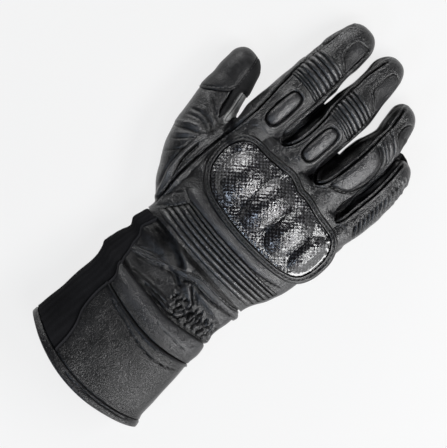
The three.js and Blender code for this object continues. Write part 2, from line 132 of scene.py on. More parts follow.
# The tip's y, the length of its rounding, and columns: y, left, right, bottom, top
FINGERS = {
    "index": (160.3, 12, [
        [38, -53, -28, 3, 41],
        [62, -59.3, -25.6, 7, 40],
        [80, -59.2, -25.3, 8, 39],
        [100, -58.6, -25.3, 6.5, 37],
        [115, -58, -26.3, 4, 34],
        [128, -56.6, -28, 1.5, 30.5],
        [135, -57.5, -27.5, -0.5, 28.5],
        [150, -54.8, -29.3, -1.5, 24],
        [160.3, -53.5, -30.5, -1.5, 21.5],
    ]),
    "middle": (161.3, 12, [
        [38, -23, 4, 3, 43],
        [62, -24.4, 5.2, 7, 42],
        [80, -24.6, 5.8, 8.5, 41],
        [100, -24.6, 6.6, 7, 39],
        [112, -24.4, 6.3, 5, 36],
        [120, -24, 5, 3, 34],
        [128, -22.6, 3.4, 1.5, 31.5],
        [140, -23.5, 1, -1, 28],
        [150, -24, -0.5, -1.5, 25],
        [161.3, -22.5, -2.5, -1.5, 22],
    ]),
    "ring": (146.3, 11, [
        [38, 8, 35, 3, 42],
        [60, 6.2, 36, 6, 41],
        [80, 6.8, 35.6, 8, 39],
        [95, 7.5, 36, 7, 37.5],
        [105, 8.4, 36.2, 5.5, 35.5],
        [118, 11.5, 34.8, 3, 32],
        [125, 10, 32.6, 1, 30],
        [133, 8.2, 30, -1, 27],
        [146.3, 7.5, 25.5, -1.5, 23],
    ]),
    "little": (119.2, 11, [
        [36, 38, 53.5, 4, 38],
        [56, 37, 57, 6, 37],
        [72, 36.6, 58.5, 7, 35],
        [85, 36.8, 58, 6, 33],
        [95, 37, 57, 4, 31],
        [105, 37, 55.2, 1.5, 28],
        [119.2, 35.8, 50.5, -1.5, 22],
    ]),
    "thumb": (90.3, 11, [
        [-31, -48, -28, 2, 28],
        [-15, -64, -34, -2, 33],
        [5, -77.5, -40, -3, 36],
        [19, -83.6, -44, -3, 36],
        [33, -87, -48, -3, 34.5],
        [45, -89.6, -53, -2.5, 32],
        [55, -91, -59.5, -2, 29.5],
        [62, -91.4, -63, -2, 28.5],
        [70, -92.3, -65.5, -2, 27],
        [78, -93, -68.5, -2, 25.5],
        [90.3, -93, -74, -2, 22],
    ]),
}

# Where the thumb's leather is sewn to the hand's: y and x
THUMB_SEAM = np.array([
    [-40, -50], [-33, -52], [-23, -55.5], [-10, -59], [3, -61.5], [18, -62.5], [30, -61],
    [45, -59.3], [60, -60.5], [76, -62.5], [100, -62.5],
])


def smoothstep(low, high, x):
    t = np.clip((x - low) / (high - low), 0, 1)
    return t * t * (3 - 2 * t)


def bump(x, centre, width):
    return np.exp(-(((x - centre) / width) ** 2))


def row_at(table, y):
    """A table's columns at any y, on a smooth curve through each of them."""
    table = np.asarray(table, float)
    last = len(table) - 1
    after = np.minimum(np.arange(last + 1) + 1, last)
    before = np.maximum(np.arange(last + 1) - 1, 0)
    slope = (table[after] - table[before]) / (table[after, :1] - table[before, :1])
    y = np.clip(np.asarray(y, float), table[0, 0], table[-1, 0])
    i = np.clip(np.searchsorted(table[:, 0], y, side="right") - 1, 0, last - 1)
    span = (table[i + 1, 0] - table[i, 0])[..., None]
    t = (y - table[i, 0])[..., None] / span
    return (
        (2 * t**3 - 3 * t**2 + 1) * table[i]
        + (t**3 - 2 * t**2 + t) * span * slope[i]
        + (3 * t**2 - 2 * t**3) * table[i + 1]
        + (t**3 - t**2) * span * slope[i + 1]
    )


def power(value, square):
    return np.sign(value) * np.abs(value) ** (2 / square)


def tube_points(table, y, turn, square, offset=0.0, shrink=1.0):
    """Points of a tube at stations y and turns round it, which may be arrays of one shape."""
    row = row_at(table, y)
    left, right, bottom, top = (row[..., k] for k in range(1, 5))
    bow, lean = (row[..., 5], row[..., 6]) if row.shape[-1] > 5 else (0, 0)
    across = power(np.cos(turn), square)
    up = power(np.sin(turn), square)
    half = ((right - left) / 2 + offset) * shrink
    rise = ((top - bottom) / 2 + offset) * shrink
    x = (left + right) / 2 + half * across
    z = np.maximum((bottom + top) / 2 + rise * up, -offset)
    return np.stack([x, y + lean * across + bow * across**2 + 0 * x, z], axis=-1)


def top_height(table, x, y, square):
    """Height of a tube's top seen from above."""
    row = row_at(table, y)
    half = (row[..., 2] - row[..., 1]) / 2
    across = np.minimum(np.abs(x - (row[..., 1] + row[..., 2]) / 2) / half, 0.97)
    up = (1 - across**square) ** (1 / square)
    return (row[..., 3] + row[..., 4]) / 2 + (row[..., 4] - row[..., 3]) / 2 * up


def back_height(x, y):
    """Height of the back of the hand, which the fingers' roots carry on at the knuckles."""
    height = top_height(SLEEVE, x, y, SLEEVE_SQUARE)
    for _, _, rows in FINGERS.values():
        row = row_at(rows, y)
        over = (y > rows[0][0]) & (x > row[..., 1]) & (x < row[..., 2])
        height = np.where(over, np.maximum(height, top_height(rows, x, y, FINGER_SQUARE)), height)
    return height


# Closed bodies fused into one skin

SKIN_SIDES = 64
FINGER_PITCH = 2.0
HAND_PITCH = 2.5
# The hand's last rings, close together where it closes inside the fingers' roots
KNUCKLE_RINGS = [61.0, 62.0, 63.0]
TIP_STATIONS = 12
SKIN_SMOOTHING = 6
turns = np.linspace(0, 2 * math.pi, SKIN_SIDES, endpoint=False)


def finger_rings(name, end=None):
    """Rings of a finger, to its rounded tip or only to a station."""
    tip, tip_length, rows = FINGERS[name]
    start = rows[0][0]
    if end is not None:
        stations = np.arange(start, end, FINGER_PITCH)
        return tube_points(rows, stations[:, None], turns[None], FINGER_SQUARE)
    shoulder = tip - tip_length
    stations = np.linspace(start, shoulder, int((shoulder - start) / FINGER_PITCH))
    straight = tube_points(rows, stations[:, None], turns[None], FINGER_SQUARE)
    reach = np.sin(np.linspace(0.12, 1, TIP_STATIONS) * math.pi / 2)
    y = shoulder + reach * tip_length
    shrink = np.maximum(1 - reach**TIP_SQUARE, 0.0004) ** (1 / TIP_SQUARE)
    rounded = tube_points(rows, y[:, None], turns[None], FINGER_SQUARE, shrink=shrink[:, None])
    return np.concatenate([straight, rounded])


def hand_rings(start):
    """Rings of the hand from a station to its closed end inside the fingers' roots."""
    stations = np.append(np.arange(start, KNUCKLE_RINGS[0], HAND_PITCH), KNUCKLE_RINGS)
    return tube_points(SLEEVE, stations[:, None], turns[None], SLEEVE_SQUARE)


def fused(bodies):
    """One even skin round closed bodies that overlap, as points and triangles."""
    points, faces = [], []
    base = 0
    for rings in bodies:
        count, size = rings.shape[:2]
        for r in range(count - 1):
            low = base + r * size
            faces += [
                (low + i, low + (i + 1) % size, low + size + (i + 1) % size, low + size + i)
                for i in range(size)
            ]
        faces.append(tuple(base + i for i in reversed(range(size))))
        faces.append(tuple(base + (count - 1) * size + i for i in range(size)))
        points.append(rings.reshape(-1, 3))
        base += count * size
    mesh = bpy.data.meshes.new("bodies")
    mesh.from_pydata(np.concatenate(points).tolist(), [], faces)
    body = bpy.data.objects.new("bodies", mesh)
    bpy.context.scene.collection.objects.link(body)
    remesh = body.modifiers.new("skin", "REMESH")
    remesh.mode = "VOXEL"
    remesh.voxel_size = VOXEL
    ease = body.modifiers.new("ease", "SMOOTH")
    ease.factor = 0.5
    ease.iterations = SKIN_SMOOTHING
    done = body.evaluated_get(bpy.context.evaluated_depsgraph_get()).to_mesh()
    co = np.empty(len(done.vertices) * 3)
    done.vertices.foreach_get("co", co)
    done.calc_loop_triangles()
    triangles = np.empty(len(done.loop_triangles) * 3, int)
    done.loop_triangles.foreach_get("vertices", triangles)
    bpy.data.objects.remove(body)
    bpy.data.meshes.remove(mesh)
    return co.reshape(-1, 3), triangles.reshape(-1, 3)


# Triangle meshes: normals, exact cuts and walls

def normals_of(points, faces):
    """A normal for each point, from the triangles round it."""
    a, b, c = (points[faces[:, k]] for k in range(3))
    flat = np.cross(b - a, c - a)
    total = np.zeros_like(points)
    for k in range(3):
        for axis in range(3):
            total[:, axis] += np.bincount(faces[:, k], flat[:, axis], len(points))
    return total / np.maximum(np.linalg.norm(total, axis=1, keepdims=True), 1e-12)


def clip(data, faces, keep):
    """The part of a mesh where keep is above zero, cut along its zero line. data's rows are points."""
    inside = keep > 0
    inner = inside[faces].sum(1)
    mixed = faces[(inner == 1) | (inner == 2)]
    lone_in = inside[mixed].sum(1) == 1
    odd = np.where(lone_in[:, None], inside[mixed], ~inside[mixed])
    first = odd.argmax(1)
    r = np.arange(len(mixed))
    a, b, c = (mixed[r, (first + k) % 3] for k in range(3))
    ends = np.sort(np.concatenate([np.stack([a, b], 1), np.stack([a, c], 1)]), axis=1)
    unique, where = np.unique(ends, axis=0, return_inverse=True)
    where = where.reshape(-1)
    low, high = unique[:, 0], unique[:, 1]
    t = (keep[low] / (keep[low] - keep[high]))[:, None]
    cut = data[low] * (1 - t) + data[high] * t
    ab = where[: len(r)] + len(data)
    ac = where[len(r) :] + len(data)
    tips = np.stack([a, ab, ac], 1)[lone_in]
    o = ~lone_in
    quads = np.concatenate([np.stack([ab, b, c], 1)[o], np.stack([ab, c, ac], 1)[o]])
    kept = np.concatenate([faces[inner == 3], tips, quads])
    everything = np.concatenate([data, cut])
    used, new = np.unique(kept, return_inverse=True)
    return everything[used], new.reshape(kept.shape)


# Size of the cells that a lining's points are gathered in
LINING_CELL = 3.2


def coarse(points, faces):
    """A sheet with larger triangles and the same rim, and where its points went."""
    edges = np.sort(np.concatenate([faces[:, [0, 1]], faces[:, [1, 2]], faces[:, [2, 0]]]), axis=1)
    pairs, times = np.unique(edges, axis=0, return_counts=True)
    own = np.zeros(len(points), int)
    rim = np.unique(pairs[times == 1])
    own[rim] = rim + 1
    key = np.column_stack([np.floor(points / LINING_CELL).astype(int), own])
    _, where = np.unique(key, axis=0, return_inverse=True)
    where = where.reshape(-1)
    count = np.bincount(where)
    middles = np.column_stack([np.bincount(where, points[:, k]) / count for k in range(3)])
    faces = where[faces]
    a, b, c = faces.T
    faces = faces[(a != b) & (b != c) & (c != a)]
    _, first, times = np.unique(np.sort(faces, axis=1), axis=0, return_index=True, return_counts=True)
    return middles, faces[first[times % 2 == 1]], where


def shell(outer, inner, faces):
    """A closed wall between a sheet and a coarse lining."""
    lining, lining_faces, where = coarse(inner, faces)
    n = len(outer)
    edges = np.concatenate([faces[:, [0, 1]], faces[:, [1, 2]], faces[:, [2, 0]]])
    forward = edges[:, 0] * n + edges[:, 1]
    backward = edges[:, 1] * n + edges[:, 0]
    a, b = edges[~np.isin(forward, backward)].T
    under_a, under_b = where[a] + n, where[b] + n
    rim = np.concatenate([np.stack([b, a, under_a], 1), np.stack([b, under_a, under_b], 1)])
    return np.concatenate([outer, lining]), np.concatenate([faces, lining_faces[:, ::-1] + n, rim])


def grid_faces(rows, columns, closed=False):
    """Triangles of a grid of points, row by row. A closed grid's last column meets its first."""
    r, c = np.meshgrid(np.arange(rows - 1), np.arange(columns if closed else columns - 1), indexing="ij")
    a = (r * columns + c).ravel()
    b = (r * columns + (c + 1) % columns).ravel()
    return np.concatenate([np.stack([a, b, b + columns], 1), np.stack([a, b + columns, a + columns], 1)])


def ring_faces(rings, sides):
    """Triangles of a grid of points that closes both ways, ring by ring."""
    return grid_faces(rings + 1, sides, closed=True) % (rings * sides)


def fan(count):
    """Triangles that fill a ring of points, all from its first point."""
    return np.array([[0, k, k + 1] for k in range(1, count - 1)])


def listed(x, y, z):
    """Points of a grid as one list."""
    return np.stack([x, y, z], -1).reshape(-1, 3)


# Pieces, and their points and faces, for stitches to lie on

laid = []


def add_piece(name, points, faces, material, replaced=(), heights=(), sharp=50):
    """A finished piece from points in the tables' millimetres, with the relief of its first points."""
    points = np.asarray(points, float)
    mesh = bpy.data.meshes.new(name)
    placed = (points - MIDDLE) * MM
    placed[:, 2] = np.maximum(placed[:, 2], 0)
    mesh.vertices.add(len(placed))
    mesh.vertices.foreach_set("co", placed.ravel())
    mesh.loops.add(faces.size)
    mesh.loops.foreach_set("vertex_index", faces.ravel().astype(np.int32))
    mesh.polygons.add(len(faces))
    mesh.polygons.foreach_set("loop_start", np.arange(0, faces.size, 3, dtype=np.int32))
    mesh.update(calc_edges=True)
    mesh.validate()
    mesh.shade_smooth()
    mesh.set_sharp_from_angle(angle=math.radians(sharp))
    values = np.zeros(len(points), np.float32)
    values[: len(heights)] = heights
    mesh.attributes.new("relief", "FLOAT", "POINT").data.foreach_set("value", values)
    mesh.materials.append(material)
    laid.append((points, faces))
    obj = bpy.data.objects.new(name, mesh)
    bpy.context.scene.collection.objects.link(obj)
    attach(obj, "root")
    if replaced:
        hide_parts(*replaced)
    return obj


# Relief: what seams, folds and quilting add to the leather, drawn on a map seen from above

# The map's lower left corner, the size of its cells and how many there are
MAP_LOW = np.array([-100.0, -160.0])
MAP_STEP = 0.3
MAP_SHAPE = (560, 1100)
relief = np.zeros(MAP_SHAPE)


def spline(points, spacing=1.5, closed=False):
    """Evenly spaced points along a smooth curve through a few."""
    p = np.asarray(points, float)
    ends = (p[-1:], p[:2]) if closed else ([2 * p[0] - p[1]], [2 * p[-1] - p[-2]])
    q = np.concatenate([ends[0], p, ends[1]])
    t = np.linspace(0, 1, 13)[:-1, None]
    spans = [
        0.5 * (2 * b + (c - a) * t + (2 * a - 5 * b + 4 * c - d) * t**2 + (3 * b - a - 3 * c + d) * t**3)
        for a, b, c, d in zip(q[:-3], q[1:-2], q[2:-1], q[3:])
    ]
    fine = np.concatenate([*spans, p[:1] if closed else p[-1:]])
    along = np.concatenate([[0], np.cumsum(np.linalg.norm(np.diff(fine, axis=0), axis=1))])
    even = np.linspace(0, along[-1], max(int(round(along[-1] / spacing)), 2) + 1)
    return np.column_stack([np.interp(even, along, fine[:, k]) for k in range(fine.shape[1])])


def map_window(low, high):
    """The part of the map between two corners, and its points' places."""
    a = np.clip(((low - MAP_LOW) / MAP_STEP).astype(int), 0, MAP_SHAPE)
    b = np.clip(((high - MAP_LOW) / MAP_STEP).astype(int) + 2, 0, MAP_SHAPE)
    x = MAP_LOW[0] + MAP_STEP * np.arange(a[0], b[0])
    y = MAP_LOW[1] + MAP_STEP * np.arange(a[1], b[1])
    return a, b, x[:, None], y[None]


def near_line(line, reach):
    """A map window round a line, with the distance to it and the length passed along it."""
    corner, end, _, _ = map_window(line.min(0) - reach, line.max(0) + reach)
    distance = np.full(np.maximum(end - corner, 0), 1e6)
    along = np.zeros(distance.shape)
    passed = 0.0
    for a, b in zip(line[:-1], line[1:]):
        low, high, x, y = map_window(np.minimum(a, b) - reach, np.maximum(a, b) + reach)
        part = tuple(slice(low[k] - corner[k], high[k] - corner[k]) for k in (0, 1))
        ahead = b - a
        length = math.hypot(*ahead)
        t = np.clip(((x - a[0]) * ahead[0] + (y - a[1]) * ahead[1]) / length**2, 0, 1)
        d = np.hypot(x - a[0] - t * ahead[0], y - a[1] - t * ahead[1])
        closer = d < distance[part]
        distance[part] = np.where(closer, d, distance[part])
        along[part] = np.where(closer, passed + t * length, along[part])
        passed += length
    window = (slice(corner[0], end[0]), slice(corner[1], end[1]))
    return window, distance, along, passed


# How a line looks across, from its middle outwards, in its own widths
PROFILES = {
    "groove": lambda d: -np.exp(-(d**2)),
    "ridge": lambda d: np.exp(-(d**2)),
    "seam": lambda d: -np.exp(-(d**2)) + 0.5 * np.exp(-((d - 2.1) ** 2)),
}
REACHES = {"groove": 2.4, "ridge": 2.4, "seam": 4.2}


def draw(kind, size, width, points, closed=False, taper=4.0):
    """Adds a line's relief to the map, running out softly at both of its ends."""
    line = spline(points, closed=closed)
    window, distance, along, length = near_line(line, REACHES[kind] * width)
    ends = 1.0
    if not closed:
        soft = min(taper, length / 3)
        first, last = (smoothstep(0, soft, gone + 0.15 * soft) for gone in (along, length - along))
        ends = first * last
    relief[window] += size * ends * PROFILES[kind](distance / width)


def inside(outline, x, y):
    """Whether places lie inside a closed outline."""
    within = np.zeros(np.broadcast(x, y).shape, bool)
    for a, b in zip(outline, np.roll(outline, -1, axis=0)):
        if a[1] != b[1]:
            crossing = (a[1] > y) != (b[1] > y)
            within ^= crossing & (x < (b[0] - a[0]) * (y - a[1]) / (b[1] - a[1]) + a[0])
    return within


def swell(points, rise, edge):
    """Raises or sinks an area of the map, with a rounded edge of that width inside its outline."""
    line = spline(points, closed=True)
    window, distance, _, _ = near_line(line, 3 * edge)
    x, y = (MAP_LOW[k] + MAP_STEP * np.arange(window[k].start, window[k].stop) for k in (0, 1))
    within = inside(line[:-1], x[:, None], y[None])
    relief[window] += rise * within * (1 - np.exp(-((distance / edge) ** 2)))


def on_map(x, y):
    """The map's relief at any places seen from above."""
    u = np.clip((x - MAP_LOW[0]) / MAP_STEP, 0, MAP_SHAPE[0] - 1.001)
    v = np.clip((y - MAP_LOW[1]) / MAP_STEP, 0, MAP_SHAPE[1] - 1.001)
    i, j = u.astype(int), v.astype(int)
    u, v = u - i, v - j
    low = relief[i, j] * (1 - u) + relief[i + 1, j] * u
    high = relief[i, j + 1] * (1 - u) + relief[i + 1, j + 1] * u
    return low * (1 - v) + high * v


# Seams that run round the crotches between two fingers, from one tip to the other
CROTCH_SEAMS = {
    "index_middle": [[-32, 150], [-31, 140], [-30, 125], [-29, 110], [-28.5, 100], [-28.5, 75], [-27, 68],
                     [-23, 63.3], [-18.7, 69], [-16.5, 80], [-17, 95], [-18.5, 105], [-19.5, 120],
                     [-20, 135], [-19, 150], [-17.5, 157]],
    "middle_ring": [[0, 150], [2, 135], [3.5, 120], [4.6, 105], [4.8, 85], [4.8, 74], [7, 66.5],
                    [11, 62.9], [14.8, 66.5], [16.6, 72], [18, 85], [18.6, 95], [18.5, 105],
                    [17.8, 115], [17.6, 125], [15.5, 135], [13.2, 144]],
    "ring_little": [[29, 130], [33.5, 120], [36.3, 110], [37.6, 98], [37, 86], [35, 75], [34.3, 66],
                    [35.8, 60], [39.8, 56], [42, 59], [42.6, 66], [43.3, 80], [43.7, 92], [43, 102],
                    [41.8, 112], [40.8, 117]],
}
# The seam along the index finger's outer side and on down the hand
INDEX_SIDE_SEAM = [[-50, 156], [-54, 150], [-55, 130], [-55, 100], [-54.5, 90], [-53, 75], [-52.3, 60],
                   [-53, 50], [-54.5, 30], [-55, 10], [-54.5, -5], [-53, -15], [-51, -28]]
# Stations of the gathers down the little finger's outer side
LITTLE_GATHERS = np.arange(60.0, 108.0, 3.9)

# The two long finger pads: middles, half sizes of the pad, of the groove at its foot and of the ridge
# round it, and the squareness of all three
PAD_PLACES = [(-40.7, 80), (-6.1, 82)]
PAD_HALVES = (5.1, 14.0)
PAD_GROOVE_HALVES = (5.6, 14.5)
PAD_RIDGE_HALVES = (7.4, 16.2)
PAD_SQUARE = 3.2
# The ring finger's pad
RING_PAD = [[18.9, 70], [23, 71], [29, 74.3], [32, 79.5], [33.2, 90], [33, 98], [30.5, 103.8],
            [26.5, 107.4], [22, 109.3], [19, 109.6], [18.8, 100], [18.7, 85]]
# The line round the ring finger's pad, which is stitched for the most part
RING_PAD_LINE = [[16.6, 68.3], [22, 69.2], [28, 72.3], [32, 76.3], [34.3, 82], [35.2, 90], [34.4, 99],
                 [31.5, 105.5], [26, 110.3], [19.5, 112.3]]

# Overlays: outlines seen from above, and the height that each reaches down to
THUMB_CAP = ([[-112, 44], [-90, 47.5], [-82, 53], [-74.5, 60], [-72, 66], [-64.5, 68.3], [-50, 68],
              [-50, 112], [-112, 112]], 3.0)
TIP_PATCHES = {
    "index": ([[-41.8, 148], [-41.8, 141], [-40.5, 135], [-35, 131], [-31.2, 127.5], [-31, 140],
               [-31.4, 149.5], [-36, 150.2]], 8.0),
    "middle": ([[-10, 148], [-10, 141], [-9.8, 134.2], [-5, 130.5], [1.5, 125], [0.8, 136], [-0.8, 149.5],
                [-4, 152.2], [-8.6, 152.6]], 8.0),
    "ring": ([[23.7, 136], [23.6, 129], [26, 124.8], [31, 119], [35, 113.5], [33, 126], [29.5, 135],
              [27, 138]], 8.0),
}
# Dark suede down the thumb's inner side, whose lower tongue towards the hand is painted shade, and the pale
# vent leather beside it
THUMB_SUEDE_AND_SHADE = ([[-81.5, 92], [-79, 85], [-77, 77], [-75.3, 69], [-73.4, 62.8], [-71, 57], [-69, 51],
                [-67, 45], [-65.2, 43], [-64.6, 49], [-66.2, 55], [-67.8, 61], [-68, 66.3], [-60, 69],
                [-60, 96], [-80, 98]], 3.0)
THUMB_VENT = ([[-69, 70.5], [-68, 64.5], [-66.4, 58.5], [-64.8, 52.5], [-63.5, 46], [-60.5, 43], [-56, 50],
               [-56, 62], [-62, 71]], 3.0)
# How far the overlays stand up
CAP_RISE = 1.0
SUEDE_RISE = 1.5
VENT_RISE = 0.3
PATCH_RISE = 0.12
PATCH_OUTLINES = [THUMB_CAP[0], *(outline for outline, _ in TIP_PATCHES.values())]


def capsule(x, y, half_width, half_length, sides=72):
    """A long rounded outline round a place."""
    turn = np.linspace(0, 2 * math.pi, sides, endpoint=False)
    return np.stack([
        x + half_width * power(np.cos(turn), PAD_SQUARE),
        y + half_length * power(np.sin(turn), PAD_SQUARE),
    ], 1)


# Valleys of the gathers on the wrist: x, low y, high y
GATHERS = [[5.8, -61.5, -57], [9.3, -61.8, -56.8], [12.6, -67, -60], [17.2, -63.5, -54.5],
           [19, -68.5, -63.5], [21.8, -63, -54], [24.2, -68, -61], [25.6, -59, -53], [28.6, -66, -56],
           [31.4, -62, -53], [33.8, -66, -58], [36, -60.5, -53], [38.2, -66, -57], [40.4, -61, -53]]


def gather(x, low, high):
    """The slightly wavy line of one gather."""
    middle = (low + high) / 2
    return [[x + 0.9, low - 1], [x - 0.6, middle - 1.2], [x + 0.7, middle + 1.4], [x - 0.3, high + 1]]


# Quilting lines of the cuff, its yoke and its binding, which are grooves with stitches in them
CUFF_QUILTING = [[-24, -92.6], [-10, -94.4], [0, -96.6], [10, -98.1], [20, -98.8], [30, -97.8], [38, -95],
                 [46, -90.8]]
YOKE_QUILTING = [[8, -79.6], [16, -79.8], [26, -79.3], [38, -78.6]]
BINDING_QUILTING = [[-8, -147.6], [8, -147], [20, -145.2], [32, -142.6], [42, -139.4], [50, -135.2]]

# Relief lines: kind, height or depth, width, points
LINES = [
    ("seam", 1.9, 0.75, INDEX_SIDE_SEAM),
    ("ridge", 0.5, 0.8, [[x - 2.6, y] for x, y in INDEX_SIDE_SEAM[1:7]]),
    # Panel between the thumb and the hand
    ("ridge", 1.3, 1.3, [[-60.5, 31], [-63, 22], [-63.5, 10], [-62.5, 0], [-60, -8], [-57, -15],
                         [-53, -26]]),
    ("groove", 1.5, 0.7, [[-61.4, 23], [-61.1, 10], [-59.4, 1], [-56.2, -7], [-54.2, -14]]),
    ("groove", 0.9, 0.9, [[-65.8, 20], [-65.8, 8], [-64.2, -3], [-60.5, -14], [-56, -24]]),
    # Thumb: the panel's seam inside its cap, its folds and the hollow beside the hand
    ("seam", 1.3, 0.75, [[-73.8, 64], [-71.2, 57], [-69.3, 50], [-66, 44]]),
    ("groove", 0.9, 2.0, [[-61.5, 46], [-61.5, 40], [-61.5, 35], [-62.5, 30]]),
    ("groove", 0.8, 1.0, [[-64, 41], [-68, 42.5], [-73, 45.3], [-80, 49]]),
    ("groove", 0.9, 1.1, [[-62, 34.5], [-67, 37.2], [-72, 37.2], [-78, 35.6], [-84, 33]]),
    ("groove", 0.6, 1.0, [[-64, 31.5], [-70, 33.3], [-76, 32], [-83, 28.5]]),
    ("ridge", 1.0, 1.5, [[-84.5, 19], [-79, 23.5], [-74, 27], [-67, 30]]),
    ("groove", 1.2, 1.1, [[-84.5, 16.5], [-79, 19], [-73, 22.5], [-66, 26]]),
    ("groove", 0.9, 1.0, [[-78, 9], [-72, 15], [-66, 22.5]]),
    ("ridge", 0.7, 1.4, [[-80, 12], [-74, 17.5], [-68, 24]]),
    ("groove", 0.6, 0.9, [[-74, 0], [-69, 7], [-65.5, 13]]),
    # Hand beside the guard, and below the crotches
    ("groove", 0.35, 1.3, [[-49, 55], [-40, 59], [-30, 60.5], [-22, 59.5]]),
    ("ridge", 0.45, 2.2, [[-50, 62], [-41, 62], [-33, 61]]),
    ("groove", 0.4, 1.2, [[-14, 60.5], [-6, 61.5], [2, 60.5]]),
    ("groove", 0.3, 1.4, [[20, 60], [27, 59.5], [33, 57]]),
    ("groove", 0.5, 0.9, [[54, 56], [50, 57], [46, 56.5], [43, 55.5]]),
    # Padded strip between the guard's roll and the ribs on the back
    ("ridge", 1.3, 3.0, [[-42, -3], [-36, -4.5], [-25, -5.5], [0, -6.2], [22, -5.6], [36, -3.6],
                         [47, 0.5]]),
    ("groove", 0.8, 0.7, [[-45, -5], [-36, -9], [-24, -9.6], [0, -10.2], [24, -9.2], [38, -6.6],
                          [50, -2]]),
    ("groove", 0.7, 1.0, [[-50, -29], [-46, -24], [-40, -19], [-36, -14], [-33, -11]]),
    ("ridge", 0.6, 1.6, [[-50, -10], [-47, -16], [-46, -22]]),
    # Folds beside the ribs at the index side
    ("groove", 0.5, 1.0, [[-52, -18], [-47, -13], [-43, -7]]),
    ("groove", 0.4, 1.2, [[-51, -5], [-48, 3], [-47, 9]]),
    # Ring finger: the lines round its pad and above it
    ("groove", 1.2, 0.65, RING_PAD_LINE),
    ("groove", 0.9, 0.7, [[19, 121], [25, 120.3], [30, 117], [34, 111.5]]),
    ("ridge", 0.5, 0.8, [[24.5, 127], [29, 121.5], [33.5, 116.5]]),
    ("groove", 0.5, 0.9, [[20, 138], [20.5, 131], [19.5, 125]]),
    # Wrist: the hand's edge over a deep fold, and the folds under it
    ("ridge", 1.6, 2.4, [[-34, -31.5], [-22, -33.5], [-12, -36.5], [-4, -40.5], [0, -44]]),
    ("groove", 2.1, 4.0, [[-49, -36], [-40, -38], [-30, -38.6], [-20, -39.8], [-12, -42], [-5, -45]]),
    ("groove", 2.0, 1.7, [[-14, -51], [-7, -49.6], [-2, -51.2], [4, -54]]),
    ("groove", 0.8, 0.8, [[-36, -61], [-25, -58.2], [-19, -55.2], [-13, -52]]),
    ("groove", 0.6, 0.7, [[-38, -57], [-31, -52.6], [-25, -49.5], [-20, -47.3]]),
    ("groove", 1.3, 0.8, [[-0.5, -49.3], [2, -47.2], [5.5, -44.6], [12, -44.2], [25, -43.2], [43, -39.4]]),
    ("ridge", 1.4, 1.9, [[3, -47.8], [8, -50], [14, -53.5], [19, -56.5]]),
    ("groove", 1.5, 0.8, [[6, -45.8], [10, -47.9], [15, -52], [19.5, -55]]),
    ("groove", 1.0, 0.8, [[11, -46.3], [16, -49.5], [21, -52.5]]),
    ("ridge", 0.9, 2.2, [[14, -45.8], [27, -46.8], [43, -49]]),
    # Gathers over the elastic: their dark valleys
    *[("groove", 1.7, 0.5, gather(x, low, high)) for x, low, high in GATHERS],
    *[("ridge", 0.9, 0.6, gather(x + 1.4, low, high)) for x, low, high in GATHERS],
    # Flat folds above the cuff
    ("groove", 0.9, 1.1, [[-30, -68], [-22, -66.6], [-12, -65.2], [-2, -63.8], [6, -63.8]]),
    ("ridge", 0.8, 0.8, [[-18, -67.4], [-6, -66.3], [8, -65.4]]),
    ("groove", 1.1, 0.6, [[-17, -68.8], [-6, -67.7], [5, -66.9], [11, -66.6]]),
    ("ridge", 0.8, 0.7, [[-10, -69.5], [0, -68.6], [9, -68]]),
    ("groove", 1.1, 0.6, [[-9, -70.6], [2, -69.9], [12, -69.2], [20, -67.6]]),
    ("ridge", 0.7, 0.7, [[-4, -71.4], [5, -71], [15, -70.2]]),
    ("groove", 0.6, 1.8, [[-34, -62], [-22, -63], [-8, -60.5]]),
    # Cuff: its quilting lines and dents
    ("groove", 0.5, 0.45, CUFF_QUILTING),
    ("groove", 0.4, 0.45, YOKE_QUILTING),
    ("groove", 0.2, 3.0, [[-4, -99], [4, -103], [14, -105]]),
    ("groove", 0.25, 5.0, [[-14, -122], [-6, -112], [2, -102]]),
    ("ridge", 0.3, 5.0, [[-20, -101], [-20, -118], [-16, -134]]),
    ("groove", 0.7, 0.6, BINDING_QUILTING),
]
# Faint quilting on the flap
LINES += [
    ("groove", 0.35, 0.8, [[x, -84], [x - 0.5, -112], [x + 2, -139]]) for x in (-35, -38.5, -42, -45.5)
]
for start in LITTLE_GATHERS:
    LINES.append(("ridge", 0.8, 1.0, [[49.5, start + 6.5], [53, start + 3], [57.5, start - 3]]))
    LINES.append(("groove", 1.2, 0.65, [[49.5, start + 4.6], [53, start + 1], [57.5, start - 5]]))


def beside(points, shift, spacing=2.0):
    """A line's points moved sideways, to its left seen along it."""
    line = spline(points, spacing)
    ahead = np.gradient(line, axis=0)
    ahead /= np.linalg.norm(ahead, axis=1, keepdims=True)
    return line + shift * np.stack([-ahead[:, 1], ahead[:, 0]], 1)


